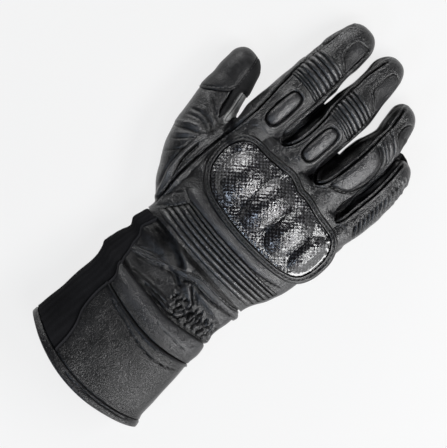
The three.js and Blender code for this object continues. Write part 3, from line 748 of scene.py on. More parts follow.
# Rows of stitches that show, seen from above
STITCHED = [
    [[2, -39.3], [6, -38.1], [14, -37.5], [26, -36.9], [42, -34.8]],
    [[2.5, -45.8], [6, -42.9], [14, -42.5], [26, -41.5], [42, -37.8]],
    [[9, -45.4], [18, -45], [28, -43.6], [42, -40.9]],
    [[-36, -56], [-29, -52.2], [-22, -48.7]],
    [[-35, -59], [-26, -56.4], [-20, -53.7], [-13, -50.8]],
    CUFF_QUILTING,
    [[-20, -91], [-6, -92.4], [6, -93.6], [18, -94], [30, -93], [44, -88.8]],
    YOKE_QUILTING,
    BINDING_QUILTING,
    [[-47.5, -29], [-44.5, -24], [-40, -17.5], [-36.8, -11]],
    [[-44, -6.5], [-36, -9], [-24, -9.8], [0, -10.4], [24, -9.4], [38, -6.8], [50, -2.4]],
    [[-89, 50], [-82, 55.5], [-76.5, 61]],
    [[-60.3, 22], [-60.1, 10], [-58.4, 1], [-55.3, -7]],
    RING_PAD_LINE[:8],
    [[-11, 148], [-11.2, 134.6], [-6, 130.4], [-0.5, 125.5]],
    [[-42.8, 147], [-42.6, 135.5], [-36, 130.4], [-32, 126.5]],
    [[22.5, 136], [22.6, 128.5], [25, 124], [30, 118.2]],
    [[-53, 101.5], [-42, 103], [-31.5, 100.6]],
    [[-17.5, 101.8], [-7, 102.6], [3.5, 99.6]],
]
# Stitches beside seams: their distance from the seam, and the points left out at both ends of a crotch's
SEAM_ALLOWANCE = 1.7
BARE_ENDS = 14
STITCHED += [beside(seam, -SEAM_ALLOWANCE)[BARE_ENDS:-BARE_ENDS] for seam in CROTCH_SEAMS.values()]
STITCHED += [beside(INDEX_SIDE_SEAM, side) for side in (-SEAM_ALLOWANCE, SEAM_ALLOWANCE)]


# A station past all of the fingertips
PAST_TIPS = 172.0


def crotch_gap(seam):
    """The outline of the sunken side leather between two fingers."""
    (left, left_end), (right, right_end) = seam[0], seam[-1]
    past_tips = [(left + right) / 2, PAST_TIPS]
    return [*seam[1:-1], [right - 1, right_end + 6], past_tips, [left + 1, left_end + 6]]


def draw_hand():
    """Draws the seams, folds and quilting."""
    for x, y in PAD_PLACES:
        draw("groove", 1.5, 0.5, capsule(x, y, *PAD_GROOVE_HALVES, sides=32), closed=True)
        draw("ridge", 0.45, 0.9, capsule(x, y, *PAD_RIDGE_HALVES, sides=32), closed=True)
    draw("groove", 1.3, 0.6, RING_PAD, closed=True)
    for line in STITCHED:
        draw("groove", 0.35, 0.6, line)
    for outline in PATCH_OUTLINES:
        draw("groove", 0.6, 0.4, outline, closed=True)
    for seam in CROTCH_SEAMS.values():
        swell(crotch_gap(seam), -1.3, 2.2)
        draw("seam", 1.9, 0.75, seam)
    for kind, size, width, points in LINES:
        draw(kind, size, width, points)


def draw_wrinkles(region, count, length, depth, heading, spread):
    """Small random creases in a box of the map. Heading and spread are in degrees."""
    left, right, low, high = region
    steps = 4
    for _ in range(count):
        at = np.array([rng.uniform(left, right), rng.uniform(low, high)])
        turn = math.radians(heading + rng.normal(0, spread))
        points = [at]
        while len(points) <= steps:
            turn += rng.normal(0, 0.25)
            at = at + length / steps * rng.uniform(0.6, 1.3) * np.array([math.cos(turn), math.sin(turn)])
            points.append(at)
        size = depth * rng.uniform(0.4, 1.0)
        kind = "groove" if rng.random() < 0.65 else "ridge"
        draw(kind, size, rng.uniform(0.6, 1.1), points, taper=length / 2)


# Region (left, right, low, high), count, length, depth, heading, spread
WRINKLES = [
    ((-90, -64, 20, 55), 16, 13, 0.22, 15, 18),
    ((-82, -58, -20, 20), 16, 12, 0.22, 60, 20),
    ((-92, -75, 60, 86), 10, 8, 0.2, 30, 40),
    ((-56, -48, -25, 60), 22, 9, 0.25, 80, 25),
    ((-56, -28, 130, 152), 5, 8, 0.12, 20, 60),
    ((-22, 0, 128, 152), 5, 8, 0.12, 20, 60),
    ((12, 32, 112, 142), 10, 8, 0.18, -40, 35),
    ((36, 56, 60, 112), 24, 8, 0.25, -50, 30),
    ((36, 55, 45, 60), 10, 9, 0.3, 20, 40),
    ((-48, 36, 57, 66), 16, 9, 0.2, 5, 25),
    ((2, 18, -64, -56), 8, 6, 0.9, 80, 30),
    ((14, 43, -65, -53), 20, 7, 0.9, 80, 25),
    ((-32, 4, -62, -54), 10, 10, 0.3, 20, 25),
    ((12, 38, -76, -73), 16, 4, 0.5, 85, 15),
    ((-34, -8, -50, -42), 8, 12, 0.3, 20, 20),
]


def draw_relief():
    """Draws all of the map."""
    draw_hand()
    for row in WRINKLES:
        draw_wrinkles(*row)


def lumps(points, size, wave, seed):
    """Slow unevenness of soft leather, as a sum of seeded waves."""
    waves = np.random.default_rng(seed)
    total = np.zeros(len(points))
    count = 10
    for _ in range(count):
        direction = waves.normal(size=3)
        direction *= 2 * math.pi / (np.linalg.norm(direction) * wave * waves.uniform(0.7, 1.5))
        total += np.sin(points @ direction + waves.uniform(0, 2 * math.pi))
    return size * total / math.sqrt(count)


# The hand, fingers and thumb

# The fingers' and the thumb's side seams: where they start, how far before the tip they end, and their
# level as a share of the section's height
FINGER_SEAM_START = 66
THUMB_SEAM_START = 20
SEAM_TO_TIP = 6
SEAM_SHARE = 0.3


def finger_side_seams(points):
    """Grooves along the lower sides of the fingers, where their side panels meet the palm's leather."""
    x, y, z = points.T
    height = np.zeros(len(points))
    for name, (tip, _, rows) in FINGERS.items():
        row = row_at(rows, y)
        middle = (row[:, 1] + row[:, 2]) / 2
        half = (row[:, 2] - row[:, 1]) / 2
        level = row[:, 3] + SEAM_SHARE * (row[:, 4] - row[:, 3])
        start = THUMB_SEAM_START if name == "thumb" else FINGER_SEAM_START
        here = (np.abs(x - middle) < half + 2.5) & (y > start) & (y < tip - SEAM_TO_TIP)
        lips = bump(z, level + 2, 0.9) + bump(z, level - 2, 0.9)
        height += here * (0.35 * lips - 0.7 * bump(z, level, 0.8))
    return height


def carved(points, faces):
    """A skin's points with its relief, and the relief itself: rows of x, y, z, relief, inner x, y, z."""
    normals = normals_of(points, faces)
    top = smoothstep(-0.02, 0.16, normals[:, 2])
    height = on_map(points[:, 0], points[:, 1]) * top
    sides = finger_side_seams(points) * (1 - smoothstep(0.3, 0.7, np.abs(normals[:, 2])))
    height = height + sides + lumps(points, size=0.22, wave=16, seed=3)
    outer = points + normals * height[:, None]
    inner = points - normals * WALL
    inner[:, 2] = np.maximum(inner[:, 2], WALL)
    return np.column_stack([outer, height, inner]), faces


# Materials

class Look:
    """A material, and short ways to add nodes to it. Values are numbers or other nodes' sockets."""

    def __init__(self, name):
        self.material = bpy.data.materials.new(name)
        self.material.use_nodes = True
        self.nodes = self.material.node_tree.nodes
        self.place = self.nodes.new("ShaderNodeTexCoord").outputs["Object"]

    def put(self, node, socket, value):
        """Sets a node's socket to a number, or links it to another node's socket."""
        if isinstance(value, bpy.types.NodeSocket):
            self.material.node_tree.links.new(value, node.inputs[socket])
        else:
            node.inputs[socket].default_value = value

    def finished(self, values):
        """The material, with these values of its shader."""
        for socket, value in values.items():
            self.put(self.nodes["Principled BSDF"], socket, value)
        return self.material

    def texture(self, kind, feature=None, **settings):
        """A texture in the piece's own space."""
        node = self.nodes.new(f"ShaderNodeTex{kind}")
        if feature:
            node.feature = feature
        self.put(node, "Vector", self.place)
        for name, value in settings.items():
            self.put(node, name.capitalize(), value)
        return node

    def noise(self, **settings):
        """The grey of a cloudy texture."""
        return self.texture("Noise", **settings).outputs["Fac"]

    def relief(self):
        """The relief that add_piece keeps with a piece's points."""
        node = self.nodes.new("ShaderNodeAttribute")
        node.attribute_name = "relief"
        return node.outputs["Fac"]

    def compute(self, operation, *values):
        """The result of a Math node."""
        node = self.nodes.new("ShaderNodeMath")
        node.operation = operation
        for socket, value in enumerate(values):
            self.put(node, socket, value)
        return node.outputs[0]

    def ramp(self, factor, stops):
        """A colour ramp. stops are (place, grey or colour)."""
        node = self.nodes.new("ShaderNodeValToRGB")
        self.put(node, 0, factor)
        elements = node.color_ramp.elements
        while len(elements) < len(stops):
            elements.new(0.5)
        for element, (place, shade) in zip(elements, stops):
            element.position = place
            element.color = (*((shade,) * 3 if isinstance(shade, (int, float)) else shade), 1)
        return node.outputs[0]

    def bump(self, height, strength, distance, under=None):
        """The normal of a small relief, which may lie on another's."""
        node = self.nodes.new("ShaderNodeBump")
        for socket, value in (("Height", height), ("Strength", strength), ("Distance", distance)):
            self.put(node, socket, value)
        if under is not None:
            self.put(node, "Normal", under)
        return node.outputs["Normal"]


# Depth in metres that full bump strength gives to grain and creases
GRAIN_DEPTH = 0.0009


def leather(name, shade, roughness, grain=1.0, crease=1.0, shine=0.5, blue=1.1):
    """Grained leather: pebbles about a millimetre wide, fine creases, painted shade and less shine in its
    hollows, and a lighter tone on what stands proud, part wear and part painted sheen.
    """
    look = Look(name)
    pebbles = look.texture("Voronoi", feature="DISTANCE_TO_EDGE", scale=760).outputs["Distance"]
    pebbles = look.compute("MINIMUM", pebbles, 0.3)
    creases = look.noise(scale=330, detail=6, distortion=1.2)
    # Painted shade: the relief darkens seams, folds and hollows and lightens what stands proud, part wear
    # and part painted sheen. The same tone lowers the shine in the hollows.
    hollow_shade_and_wear = look.compute("MULTIPLY_ADD", look.relief(), 0.27, 0.44)
    uneven = look.compute("MULTIPLY_ADD", look.noise(scale=45, detail=3), 0.4, -0.2)
    tone = look.compute("MULTIPLY_ADD", pebbles, 0.35 * grain, look.compute("ADD", hollow_shade_and_wear, uneven))
    light = shade * 2.2
    stops = [(0.08, shade * 0.1), (0.5, (shade, shade, shade * blue)), (0.95, (light, light, light * blue))]
    grained = look.bump(pebbles, min(0.95 * grain, 1), GRAIN_DEPTH)
    return look.finished({
        "Base Color": look.ramp(tone, stops),
        "Specular IOR Level": look.ramp(tone, [(0.02, 0.02), (0.4, shine), (0.9, 1.5 * shine)]),
        "Roughness": look.compute("MULTIPLY_ADD", creases, 0.2, roughness - 0.1),
        "Normal": look.bump(creases, 0.35 * crease, GRAIN_DEPTH, grained),
    })


# Width of a tow of the woven shell, and the depths in metres of its tows, its resin and its gloss
WEAVE_CELL = 1.6
TOW_DEPTH, RESIN_DEPTH, GLOSS_DEPTH = 0.0004, 0.0016, 0.0005
WEAVE_SHADES = [
    (0.42, (0.001, 0.001, 0.002)),
    (0.62, (0.012, 0.012, 0.014)),
    (0.8, (0.035, 0.035, 0.039)),
    (1.0, (0.1, 0.1, 0.11)),
]


def woven_shell():
    """Dark woven fibre under uneven clear gloss: a check of tows, each a little domed, painted glints and
    painted gloss patches in its colour, and a plain lip.
    """
    look = Look("woven_shell")
    split = look.nodes.new("ShaderNodeSeparateXYZ")
    look.put(split, 0, look.place)
    per_metre = math.pi / (WEAVE_CELL * MM)
    turns_of = [look.compute("MULTIPLY", split.outputs[axis], per_metre) for axis in ("X", "Y")]
    cells = look.compute("MULTIPLY", *(look.compute("SINE", turn) for turn in turns_of))
    glints = look.noise(scale=420, detail=2, distortion=0.8)
    patches = look.noise(scale=95, detail=2, distortion=0.8)
    resin = look.noise(scale=230, detail=4, distortion=0.8)
    bright = look.compute("MULTIPLY_ADD", cells, 0.42, 0.5)
    # Painted glints and painted gloss patches: two clouds of noise that brighten the weave's colour here
    # and there.
    painted_glints = look.compute("MULTIPLY_ADD", glints, 0.4, -0.2)
    area = look.compute("MULTIPLY_ADD", patches, 0.7, -0.38)
    tone = look.compute("ADD", look.compute("ADD", bright, painted_glints), area)
    woven = look.compute("SUBTRACT", 1.0, look.relief())
    shaded = look.nodes.new("ShaderNodeVectorMath")
    shaded.operation = "SCALE"
    look.put(shaded, 0, look.ramp(tone, WEAVE_SHADES))
    look.put(shaded, "Scale", woven)
    uneven = look.bump(resin, look.compute("MULTIPLY", woven, 0.72), RESIN_DEPTH)
    glinting = look.compute("ADD", cells, glints)
    return look.finished({
        "Base Color": shaded.outputs[0],
        "Metallic": 0.2,
        "Roughness": 0.45,
        "Specular IOR Level": 0.2,
        "Coat Weight": 1.0,
        "Coat Roughness": 0.11,
        "Coat IOR": 1.75,
        "Normal": look.bump(cells, 0.5, TOW_DEPTH),
        "Coat Normal": look.bump(glinting, look.compute("MULTIPLY", woven, 0.17), GLOSS_DEPTH, uneven),
    })


def thread_material():
    """Dark twisted thread."""
    look = Look("black_thread")
    twist = look.texture("Wave", scale=1400).outputs["Fac"]
    return look.finished({"Base Color": look.ramp(twist, [(0.2, 0.03), (0.8, 0.09)]), "Roughness": 0.6})


SHELL_LEATHER = leather("shell_leather", 0.009, 0.31, grain=0.55, shine=0.52)
PALM_LEATHER = leather("palm_leather", 0.009, 0.42)
SOFT_LEATHER = leather("ribbed_leather", 0.009, 0.3, grain=0.45, shine=0.6)
GATHERED_LEATHER = leather("gathered_leather", 0.008, 0.32, grain=0.45, crease=0.7, shine=0.4)
PADDED_LEATHER = leather("padded_leather", 0.01, 0.31, grain=0.5, shine=0.55)
YOKE_LEATHER = leather("yoke_leather", 0.008, 0.33, grain=0.6, shine=0.31)
ROLL_LEATHER = leather("roll_leather", 0.006, 0.33, grain=0.5)
PATCH_LEATHER = leather("patch_leather", 0.01, 0.4, grain=0.35, shine=0.32)
FLAP_LEATHER = leather("flap_leather", 0.01, 0.7, grain=0.5, shine=0.008)
CUFF_LEATHER = leather("cuff_leather", 0.006, 0.31, grain=0.5, shine=0.3)
SUEDE_AND_PAINTED_SHADE = leather("suede_and_painted_shade", 0.006, 0.75, grain=0.5, shine=0.2)
VENT_LEATHER = leather("pale_vent_leather", 0.24, 0.7, grain=1.6, shine=0.3, blue=0.98)
WOVEN_SHELL = woven_shell()
THREAD = thread_material()


# Leather skins of the hand, fingers and thumb

def thumb_side(data):
    """How far points lie to the hand's side of the thumb's seam."""
    return data[:, 0] - np.interp(data[:, 1], *THUMB_SEAM.T)


def cut(sheet, *fields):
    """A sheet of (data, faces) cut by each of some functions of its data."""
    data, faces = sheet
    for field in fields:
        data, faces = clip(data, faces, field(data))
    return data, faces


def past(column, limit):
    """A field for cut: how far a column of its data lies past a limit."""
    return lambda data: data[:, column] - limit


def short_of(column, limit):
    """A field for cut: how far a column of its data lies short of a limit."""
    return lambda data: limit - data[:, column]


def make_sheets():
    """The leather of the hand, its fingers and its thumb, cut from three skins at their seams."""
    across, along, up = range(3)
    stubs = [finger_rings(name, STUB_END) for name in ("index", "middle", "ring", "little")]
    whole = carved(*fused([hand_rings(HAND_START), finger_rings("thumb"), *stubs]))
    outer_pair, inner_pair = (
        carved(*fused([hand_rings(PAIR_START), *(finger_rings(name) for name in pair)]))
        for pair in (("index", "ring"), ("middle", "little"))
    )
    above_wrist = past(along, WRIST_SEAM)
    roots = past(along, FINGER_ROOT)
    hand = cut(whole, short_of(along, FINGER_ROOT), thumb_side, above_wrist)
    first, second, third = (BETWEEN[name] for name in ("index_middle", "middle_ring", "ring_little"))
    return {
        "hand_back": cut(hand, past(up, SIDE_SEAM)),
        "palm": cut(hand, short_of(up, SIDE_SEAM)),
        "thumb": cut(whole, lambda data: -thumb_side(data), above_wrist),
        "index_finger": cut(outer_pair, roots, short_of(across, first)),
        "middle_finger": cut(inner_pair, roots, past(across, first), short_of(across, second)),
        "ring_finger": cut(outer_pair, roots, past(across, second), short_of(across, third)),
        "little_finger": cut(inner_pair, roots, past(across, third)),
    }


def make_skins(sheets):
    """Pieces of the sheets' own leather."""
    for name, (data, faces) in sheets.items():
        material = PALM_LEATHER if name == "palm" else SHELL_LEATHER
        points, walls = shell(data[:, :3], data[:, 4:7], faces)
        add_piece(f"{name}_leather", points, walls, material, [name], data[:, 3])


def surface(meshes):
    """A tree of some meshes' points and faces, to lay other pieces on."""
    points, faces, base = [], [], 0
    for own, triangles in meshes:
        points.append(own[:, :3])
        faces.append(triangles + base)
        base += len(own)
    return BVHTree.FromPolygons(np.concatenate(points).tolist(), np.concatenate(faces).tolist())


# Height from which places are looked down at
DROP_FROM = 200.0


def top_of(tree, x, y, otherwise=20.0):
    """Heights of a surface under places seen from above."""
    heights = np.empty(np.size(x))
    for k, (px, py) in enumerate(zip(np.ravel(x), np.ravel(y))):
        hit = tree.ray_cast((px, py, DROP_FROM), (0, 0, -1))[0]
        heights[k] = otherwise if hit is None else hit[2]
    return heights.reshape(np.shape(x))


def blurred(heights, times, wrap=False):
    """Heights of a grid, evened out along both of its directions."""
    for _ in range(times):
        for axis in (0, 1):
            if wrap and axis == 0:
                heights = (np.roll(heights, 1, 0) + 2 * heights + np.roll(heights, -1, 0)) / 4
                continue
            padded = np.concatenate([heights.take([0], axis), heights, heights.take([-1], axis)], axis)
            n = heights.shape[axis]
            low, mid, high = (padded.take(range(k, n + k), axis) for k in range(3))
            heights = (low + 2 * mid + high) / 4
    return heights


# Overlays cut from the skin itself

def depth_inside(x, y, outline):
    """Distance from places to an outline, positive inside it."""
    distance = np.full(x.shape, 1e6)
    for a, b in zip(outline, np.roll(outline, -1, axis=0)):
        ahead = b - a
        t = np.clip(((x - a[0]) * ahead[0] + (y - a[1]) * ahead[1]) / (ahead @ ahead), 0, 1)
        distance = np.minimum(distance, np.hypot(x - a[0] - t * ahead[0], y - a[1] - t * ahead[1]))
    return np.where(inside(outline, x, y), distance, -distance)


def outward(line):
    """Outward directions of a closed line of points seen from above."""
    ahead = np.roll(line, -1, axis=0) - np.roll(line, 1, axis=0)
    away = np.stack([ahead[:, 1], -ahead[:, 0]], 1) / np.linalg.norm(ahead, axis=1, keepdims=True)
    middle = line - line.mean(0)
    return away if (away * middle).sum() > 0 else -away


# An overlay's least height over the skin, and how far its underside lies in it
OVERLAY_LIFT = 0.08
OVERLAY_SINK = 0.5


def add_overlay(name, sheet, outline, floor, rise, material, replaced, stitched=0.5):
    """A leather overlay of a skin's own shape, inside an outline seen from above."""
    line = spline(outline, 1.0, closed=True)[:-1]

    def within(data):
        return depth_inside(data[:, 0], data[:, 1], line)

    data, faces = cut(sheet, past(2, floor), within)
    normals = normals_of(data[:, :3], faces)
    depth = within(data)
    edge = -(0.6 + stitched) * bump(depth, 0, 0.45)
    lift = OVERLAY_LIFT + rise * (1 - np.exp(-np.maximum(depth, 0) / 0.6))
    seam = -stitched * bump(depth, SEAM_ALLOWANCE, 0.45)
    outer = data[:, :3] + normals * (lift + seam)[:, None]
    inner = data[:, :3] - normals * OVERLAY_SINK
    points, walls = shell(outer, inner, faces)
    add_piece(name, points, walls, material, replaced, data[:, 3] + 1.4 * seam + edge)


def add_overlays(sheets):
    """The thumb's cap, its suede, whose lower tongue is painted shade, its vent, and the patches beside the
    fingertips.
    """
    thumb = sheets["thumb"]
    add_overlay("thumb_cap_leather", thumb, *THUMB_CAP, CAP_RISE, PATCH_LEATHER, ["thumb_cap"])
    add_overlay("thumb_suede_and_painted_shade_patch", thumb, *THUMB_SUEDE_AND_SHADE, SUEDE_RISE, SUEDE_AND_PAINTED_SHADE, [])
    add_overlay("thumb_vent_patch", thumb, *THUMB_VENT, VENT_RISE, VENT_LEATHER, [])
    for name, patch in TIP_PATCHES.items():
        add_overlay(f"{name}_tip_leather", sheets[f"{name}_finger"], *patch, PATCH_RISE, PATCH_LEATHER,
                    [f"{name}_tip_patch"], stitched=0.15)


# Padded ovals on the fingers

PAD_RINGS = 16
# How far a pad's rim lies above the finger's leather, and how far its underside lies in it
PAD_LIFT = 0.1
PAD_FOOT = 1.2
# Outlines and heights
PADS = {
    "index": (capsule(*PAD_PLACES[0], *PAD_HALVES), 2.9),
    "middle": (capsule(*PAD_PLACES[1], *PAD_HALVES), 2.9),
    "ring": (spline(RING_PAD, 1.4, closed=True)[:-1], 2.4),
}


def add_pad(name, outline, rise, tree):
    """A crowned pad inside an outline, pulled down to the leather at its seam."""
    centre = outline.mean(0)
    reach = np.sin(np.linspace(0.02, 1, PAD_RINGS) * math.pi / 2)[:, None]
    x = centre[0] + reach * (outline[:, 0] - centre[0])
    y = centre[1] + reach * (outline[:, 1] - centre[1])
    base = top_of(tree, x, y)
    crown = rise * (1 - reach**2.4) ** 0.6 + 0 * x
    faces = grid_faces(PAD_RINGS, len(outline), closed=True)[:, ::-1]
    faces = np.concatenate([faces, fan(len(outline))])
    points, walls = shell(listed(x, y, base + PAD_LIFT + crown), listed(x, y, base - PAD_FOOT), faces)
    # Relief for the leather's tone: painted shade at the pad's foot, a lighter crown.
    pad = add_piece(f"{name}_knuckle_pad", points, walls, PADDED_LEATHER,
                    [f"{name}_pad"], (0.5 * crown - 0.1 * rise).ravel())


# Stitches: short rounded threads, partly sunk in the leather

STITCH_LENGTH = 1.9
STITCH_PITCH = 3.0
STITCH_RADIUS = 0.34
STITCH_SIDES = 6
STITCH_LIFT = 0.12
# Steepest leather that still gets stitches, as the upward part of its normal
STITCH_LEVEL = 0.3
# A stitch's section: place along it from its middle, thickness
STITCH_SECTION = np.array([[-1, 0.35], [-0.8, 0.9], [0, 1.0], [0.8, 0.9], [1, 0.35]])
# Spacing of the points that stitches are counted out on, and how far their starts stray sideways
FINE_PITCH = 0.5
STITCH_STRAY = 0.08


def stitch_faces():
    """Triangles of one stitch, closed at both of its ends."""
    rings = len(STITCH_SECTION)
    start = fan(STITCH_SIDES)[:, ::-1]
    end = fan(STITCH_SIDES) + (rings - 1) * STITCH_SIDES
    return np.concatenate([grid_faces(rings, STITCH_SIDES, closed=True), start, end])


def stitch(tree, a, b):
    """Points of one stitch between two places seen from above, or None where none can lie."""
    hits = [tree.ray_cast((*end, DROP_FROM), (0, 0, -1)) for end in (a, b)]
    if any(place is None or normal[2] < STITCH_LEVEL for place, normal, _, _ in hits):
        return None
    a, b = (np.array(place) + [0, 0, STITCH_LIFT] for place, _, _, _ in hits)
    ahead = b - a
    if abs(ahead[2]) > STITCH_LENGTH:
        return None
    flat = np.array([-ahead[1], ahead[0], 0]) / math.hypot(ahead[0], ahead[1])
    up = np.cross(ahead, flat)
    up /= np.linalg.norm(up)
    turn = np.linspace(0, 2 * math.pi, STITCH_SIDES, endpoint=False)
    around = np.cos(turn)[:, None] * flat + np.sin(turn)[:, None] * up
    rings = [
        (a + b) / 2 + along * ahead / 2 + thick * STITCH_RADIUS * around
        for along, thick in STITCH_SECTION
    ]
    return np.concatenate(rings)


def add_stitches(lines):
    """Stitches along lines seen from above, laid on whatever is topmost there."""
    tree = surface(laid)
    step = int(round(STITCH_PITCH / FINE_PITCH))
    reach = int(round(STITCH_LENGTH / 2 / FINE_PITCH))
    stitches = []
    for line in lines:
        fine = spline(line, FINE_PITCH)
        middles = np.arange(reach, len(fine) - reach, step)
        first, last = fine[middles - reach], fine[middles + reach]
        first = first + rng.normal(0, STITCH_STRAY, first.shape)
        stitches += [stitch(tree, a, b) for a, b in zip(first, last)]
    stitches = [points for points in stitches if points is not None]
    own = stitch_faces()
    faces = [own + number * len(points) for number, points in enumerate(stitches)]
    add_piece("seam_stitches", np.concatenate(stitches), np.concatenate(faces), THREAD)


# Leather between the fingers, up to where they part
WEB_ENDS = {"index_middle": 99.0, "middle_ring": 84.0, "ring_little": 117.0}
WEB_RINGS = 8
# Depth below the fingers' tops at a web's rim, how much deeper its middle and its far end are, how far
# it runs in under the leather beside it, how much further at its near end, and its wall
WEB_DEPTH = 1.8
WEB_SINK = 5.0
WEB_END_SINK = 12
WEB_MARGIN = 5
WEB_TUCK = 4
WEB_WALL = 2.5


def add_webs():
    """Hollowed leather between neighbouring fingers, hung between their sides."""
    for name, end in WEB_ENDS.items():
        first, second = (FINGERS[finger][2] for finger in name.split("_"))
        seam = spline(CROTCH_SEAMS[name], 1.2)
        seam = seam[seam[:, 1] < end]
        left, right = seam[0, 0], seam[-1, 0]
        across = np.linspace(seam[-1], seam[0], 8)[1:-1]
        outline = np.concatenate([seam, across])
        outline = outline + WEB_MARGIN * outward(outline)
        outline[:, 1] -= WEB_TUCK * (1 - smoothstep(0, 8, outline[:, 1] - outline[:, 1].min()))
        y = np.clip(outline[:, 1], seam[:, 1].min() + 4, end - 3)
        heart = np.stack([(left + right) / 2 + 0 * y, y], 1)
        reach = np.linspace(0.03, 1, WEB_RINGS)[:, None, None]
        place = heart + reach * (outline - heart)
        x, y = place[..., 0], place[..., 1]
        share = np.clip((x - left) / (right - left), 0, 1)
        edges = (1 - share) * top_height(first, 0 * y + left, y, FINGER_SQUARE)
        edges = edges + share * top_height(second, 0 * y + right, y, FINGER_SQUARE)
        sink = WEB_DEPTH + WEB_SINK * (1 - reach[..., 0] ** 2.5)
        sink = sink + WEB_END_SINK * smoothstep(end - 16, end, y)
        top = listed(x, y, edges - sink)
        faces = grid_faces(WEB_RINGS, len(outline), closed=True)[:, ::-1]
        faces = np.concatenate([faces, fan(len(outline))])
        points, walls = shell(top, top - [0, 0, WEB_WALL], faces)
        add_piece(f"{name}_web", points, walls, PALM_LEATHER)


# Ribbed stretch panels: left and right edges as y and x, the grooves' y on the middle line, how far
# the grooves bow and lean, and the ribs' height
RIBS = {
    "index": dict(left=[[100, -54.8], [115, -55], [128.5, -54]],
                  right=[[100, -29.2], [115, -29.6], [128.5, -31]],
                  grooves=[100.6, 102.6, 105, 108, 112, 116, 120.3, 124.2, 127.8],
                  bow=-1.6, lean=-0.6, rise=1.7),
    "middle": dict(left=[[100, -18.2], [115, -19], [126, -19.8]],
                   right=[[100, 4.6], [115, 3.8], [126, 2.6]],
                   grooves=[100.6, 102.6, 104.8, 107.4, 111, 115, 118.6, 121.8, 125],
                   bow=-1.6, lean=-1.6, rise=1.7),
    "ring": dict(left=[[104, 18.8], [115, 18.4], [128, 17.6]],
                 right=[[104, 34.6], [115, 34.2], [128, 31.6]],
                 grooves=[112.4, 115.5, 120.6, 124.6],
                 bow=-1.5, lean=-4.6, rise=0.9),
    "back": dict(left=[[-31, -46.5], [-25, -43], [-18, -38], [-10, -34.5]],
                 right=[[-31, 42.4], [-25, 44.9], [-18, 48], [-10, 50.8]],
                 grooves=[-30.6, -26.4, -22.6, -19, -15.6, -12.6, -9.8],
                 bow=2.6, lean=0.7, rise=2.0),
}
# Fineness of a rib panel's mesh along and across it
RIB_ROW = 0.36
RIB_COLUMN = 0.7
# Width from which a rib has its full height, and the least share of it that a narrower one has
WIDE_RIB = 4
NARROW_SHARE = 0.55
# Height of a panel's grooves at its ends, and how much higher they are further in
RIB_LIFTS = (0.12, 0.25)


def add_ribs(name, tree, left, right, grooves, bow, lean, rise):
    """A panel of ribs over the leather, which stand up along the leather's own normals."""
    rows = np.arange(grooves[0], grooves[-1] + 0.01, RIB_ROW)
    left, right = np.array(left, float), np.array(right, float)
    columns = int((right[0, 1] - left[0, 1]) / RIB_COLUMN)
    across = np.linspace(-1, 1, columns)[None]
    y = rows[:, None] + bow * across**2 + lean * across
    low, high = (np.interp(rows, side[:, 0], side[:, 1]) for side in (left, right))
    x = ((low + high) / 2)[:, None] + ((high - low) / 2)[:, None] * across
    rib = np.clip(np.searchsorted(grooves, rows, side="right") - 1, 0, len(grooves) - 2)
    start, end = np.array(grooves)[rib], np.array(grooves)[rib + 1]
    part = (rows - start) / (end - start)
    height = rise * np.clip((end - start) / WIDE_RIB, NARROW_SHARE, 1)
    from_ends = (rows - rows[0], rows[-1] - rows)
    first, last = (smoothstep(0, 1, distance / 1.2 + 0.15) for distance in from_ends)
    crown = (np.sin(math.pi * part) ** 0.62 * height)[:, None] * (1 - np.abs(across) ** 9) ** 0.6
    lift = RIB_LIFTS[0] + RIB_LIFTS[1] * (first * last)[:, None] + crown
    base = blurred(top_of(tree, x, y), 2)
    slope_x = np.gradient(base, axis=1) / np.gradient(x, axis=1)
    slope_y = np.gradient(base, axis=0) / np.gradient(y, axis=0)
    up = np.stack([-slope_x, -slope_y, np.ones_like(base)], -1)
    up /= np.linalg.norm(up, axis=-1, keepdims=True)
    foot = np.stack([x, y, base], -1)
    top = (foot + lift[..., None] * up).reshape(-1, 3)
    bottom = (foot - up).reshape(-1, 3)
    points, walls = shell(top, bottom, grid_faces(len(rows), columns)[:, ::-1])
    # Relief for the leather's tone: painted shade in the grooves, a lighter tone on the crowns.
    shades = 1.8 * (crown - 0.55 * rise)
    piece = add_piece(f"{name}_ribbed_panel", points, walls, SOFT_LEATHER,
                      [f"{name}_accordion"], shades.ravel())


# Knuckle guard and the padded roll round it

GUARD_OUTLINE = [
    [54, 27], [53, 35], [49, 42], [43, 45.3], [30, 46.5], [16, 49], [8, 49], [-3, 52], [-12, 50.5],
    [-24, 49], [-35, 48.5], [-41.5, 45], [-45.5, 37], [-46, 29], [-43.5, 19], [-38, 12], [-30, 6.8],
    [-18, 4.3], [0, 2.8], [18, 3.3], [32, 4.7], [42, 7], [49.5, 11], [53.2, 18],
]
GUARD_WALL = 2.5
# How much deeper than its wall the guard's rim reaches into the roll
RIM_DROP = 3
# The rim's bevel: height at its foot, width, slope, and how sharply it turns level
BEVEL_FOOT = 2.9
BEVEL_WIDTH = 1.5
BEVEL_SLOPE = 0.5
BEVEL_TURN = 5
# The lip in the bevel's place at the little finger's end: its width, its slopes at its edge and at its
# inner side, and where along x it comes in
LIP_WIDTH = 1.7
LIP_SLOPES = (0.7, 0.2)
LIP_STARTS = (36, 47)
# Bumps: x, y, radius along x and y, height
GUARD_BUMPS = np.array([
    [-24, 27, 17, 21, 8],
    [1, 28, 14, 22, 9.5],
    [24.5, 27, 13, 20, 8.5],
    [45, 26, 10, 17, 6.5],
])
# Fineness of the guard's mesh
GUARD_STEP = 0.6


def dome_rise(x, y):
    """Height of the guard's four bumps, run together."""
    total = 0
    for bx, by, rx, ry, height in GUARD_BUMPS:
        reach = ((x - bx) / rx) ** 2 + ((y - by) / ry) ** 2
        total = total + (height * np.maximum(1 - reach, 0) ** 0.8) ** 4
    return total ** (1 / 4)


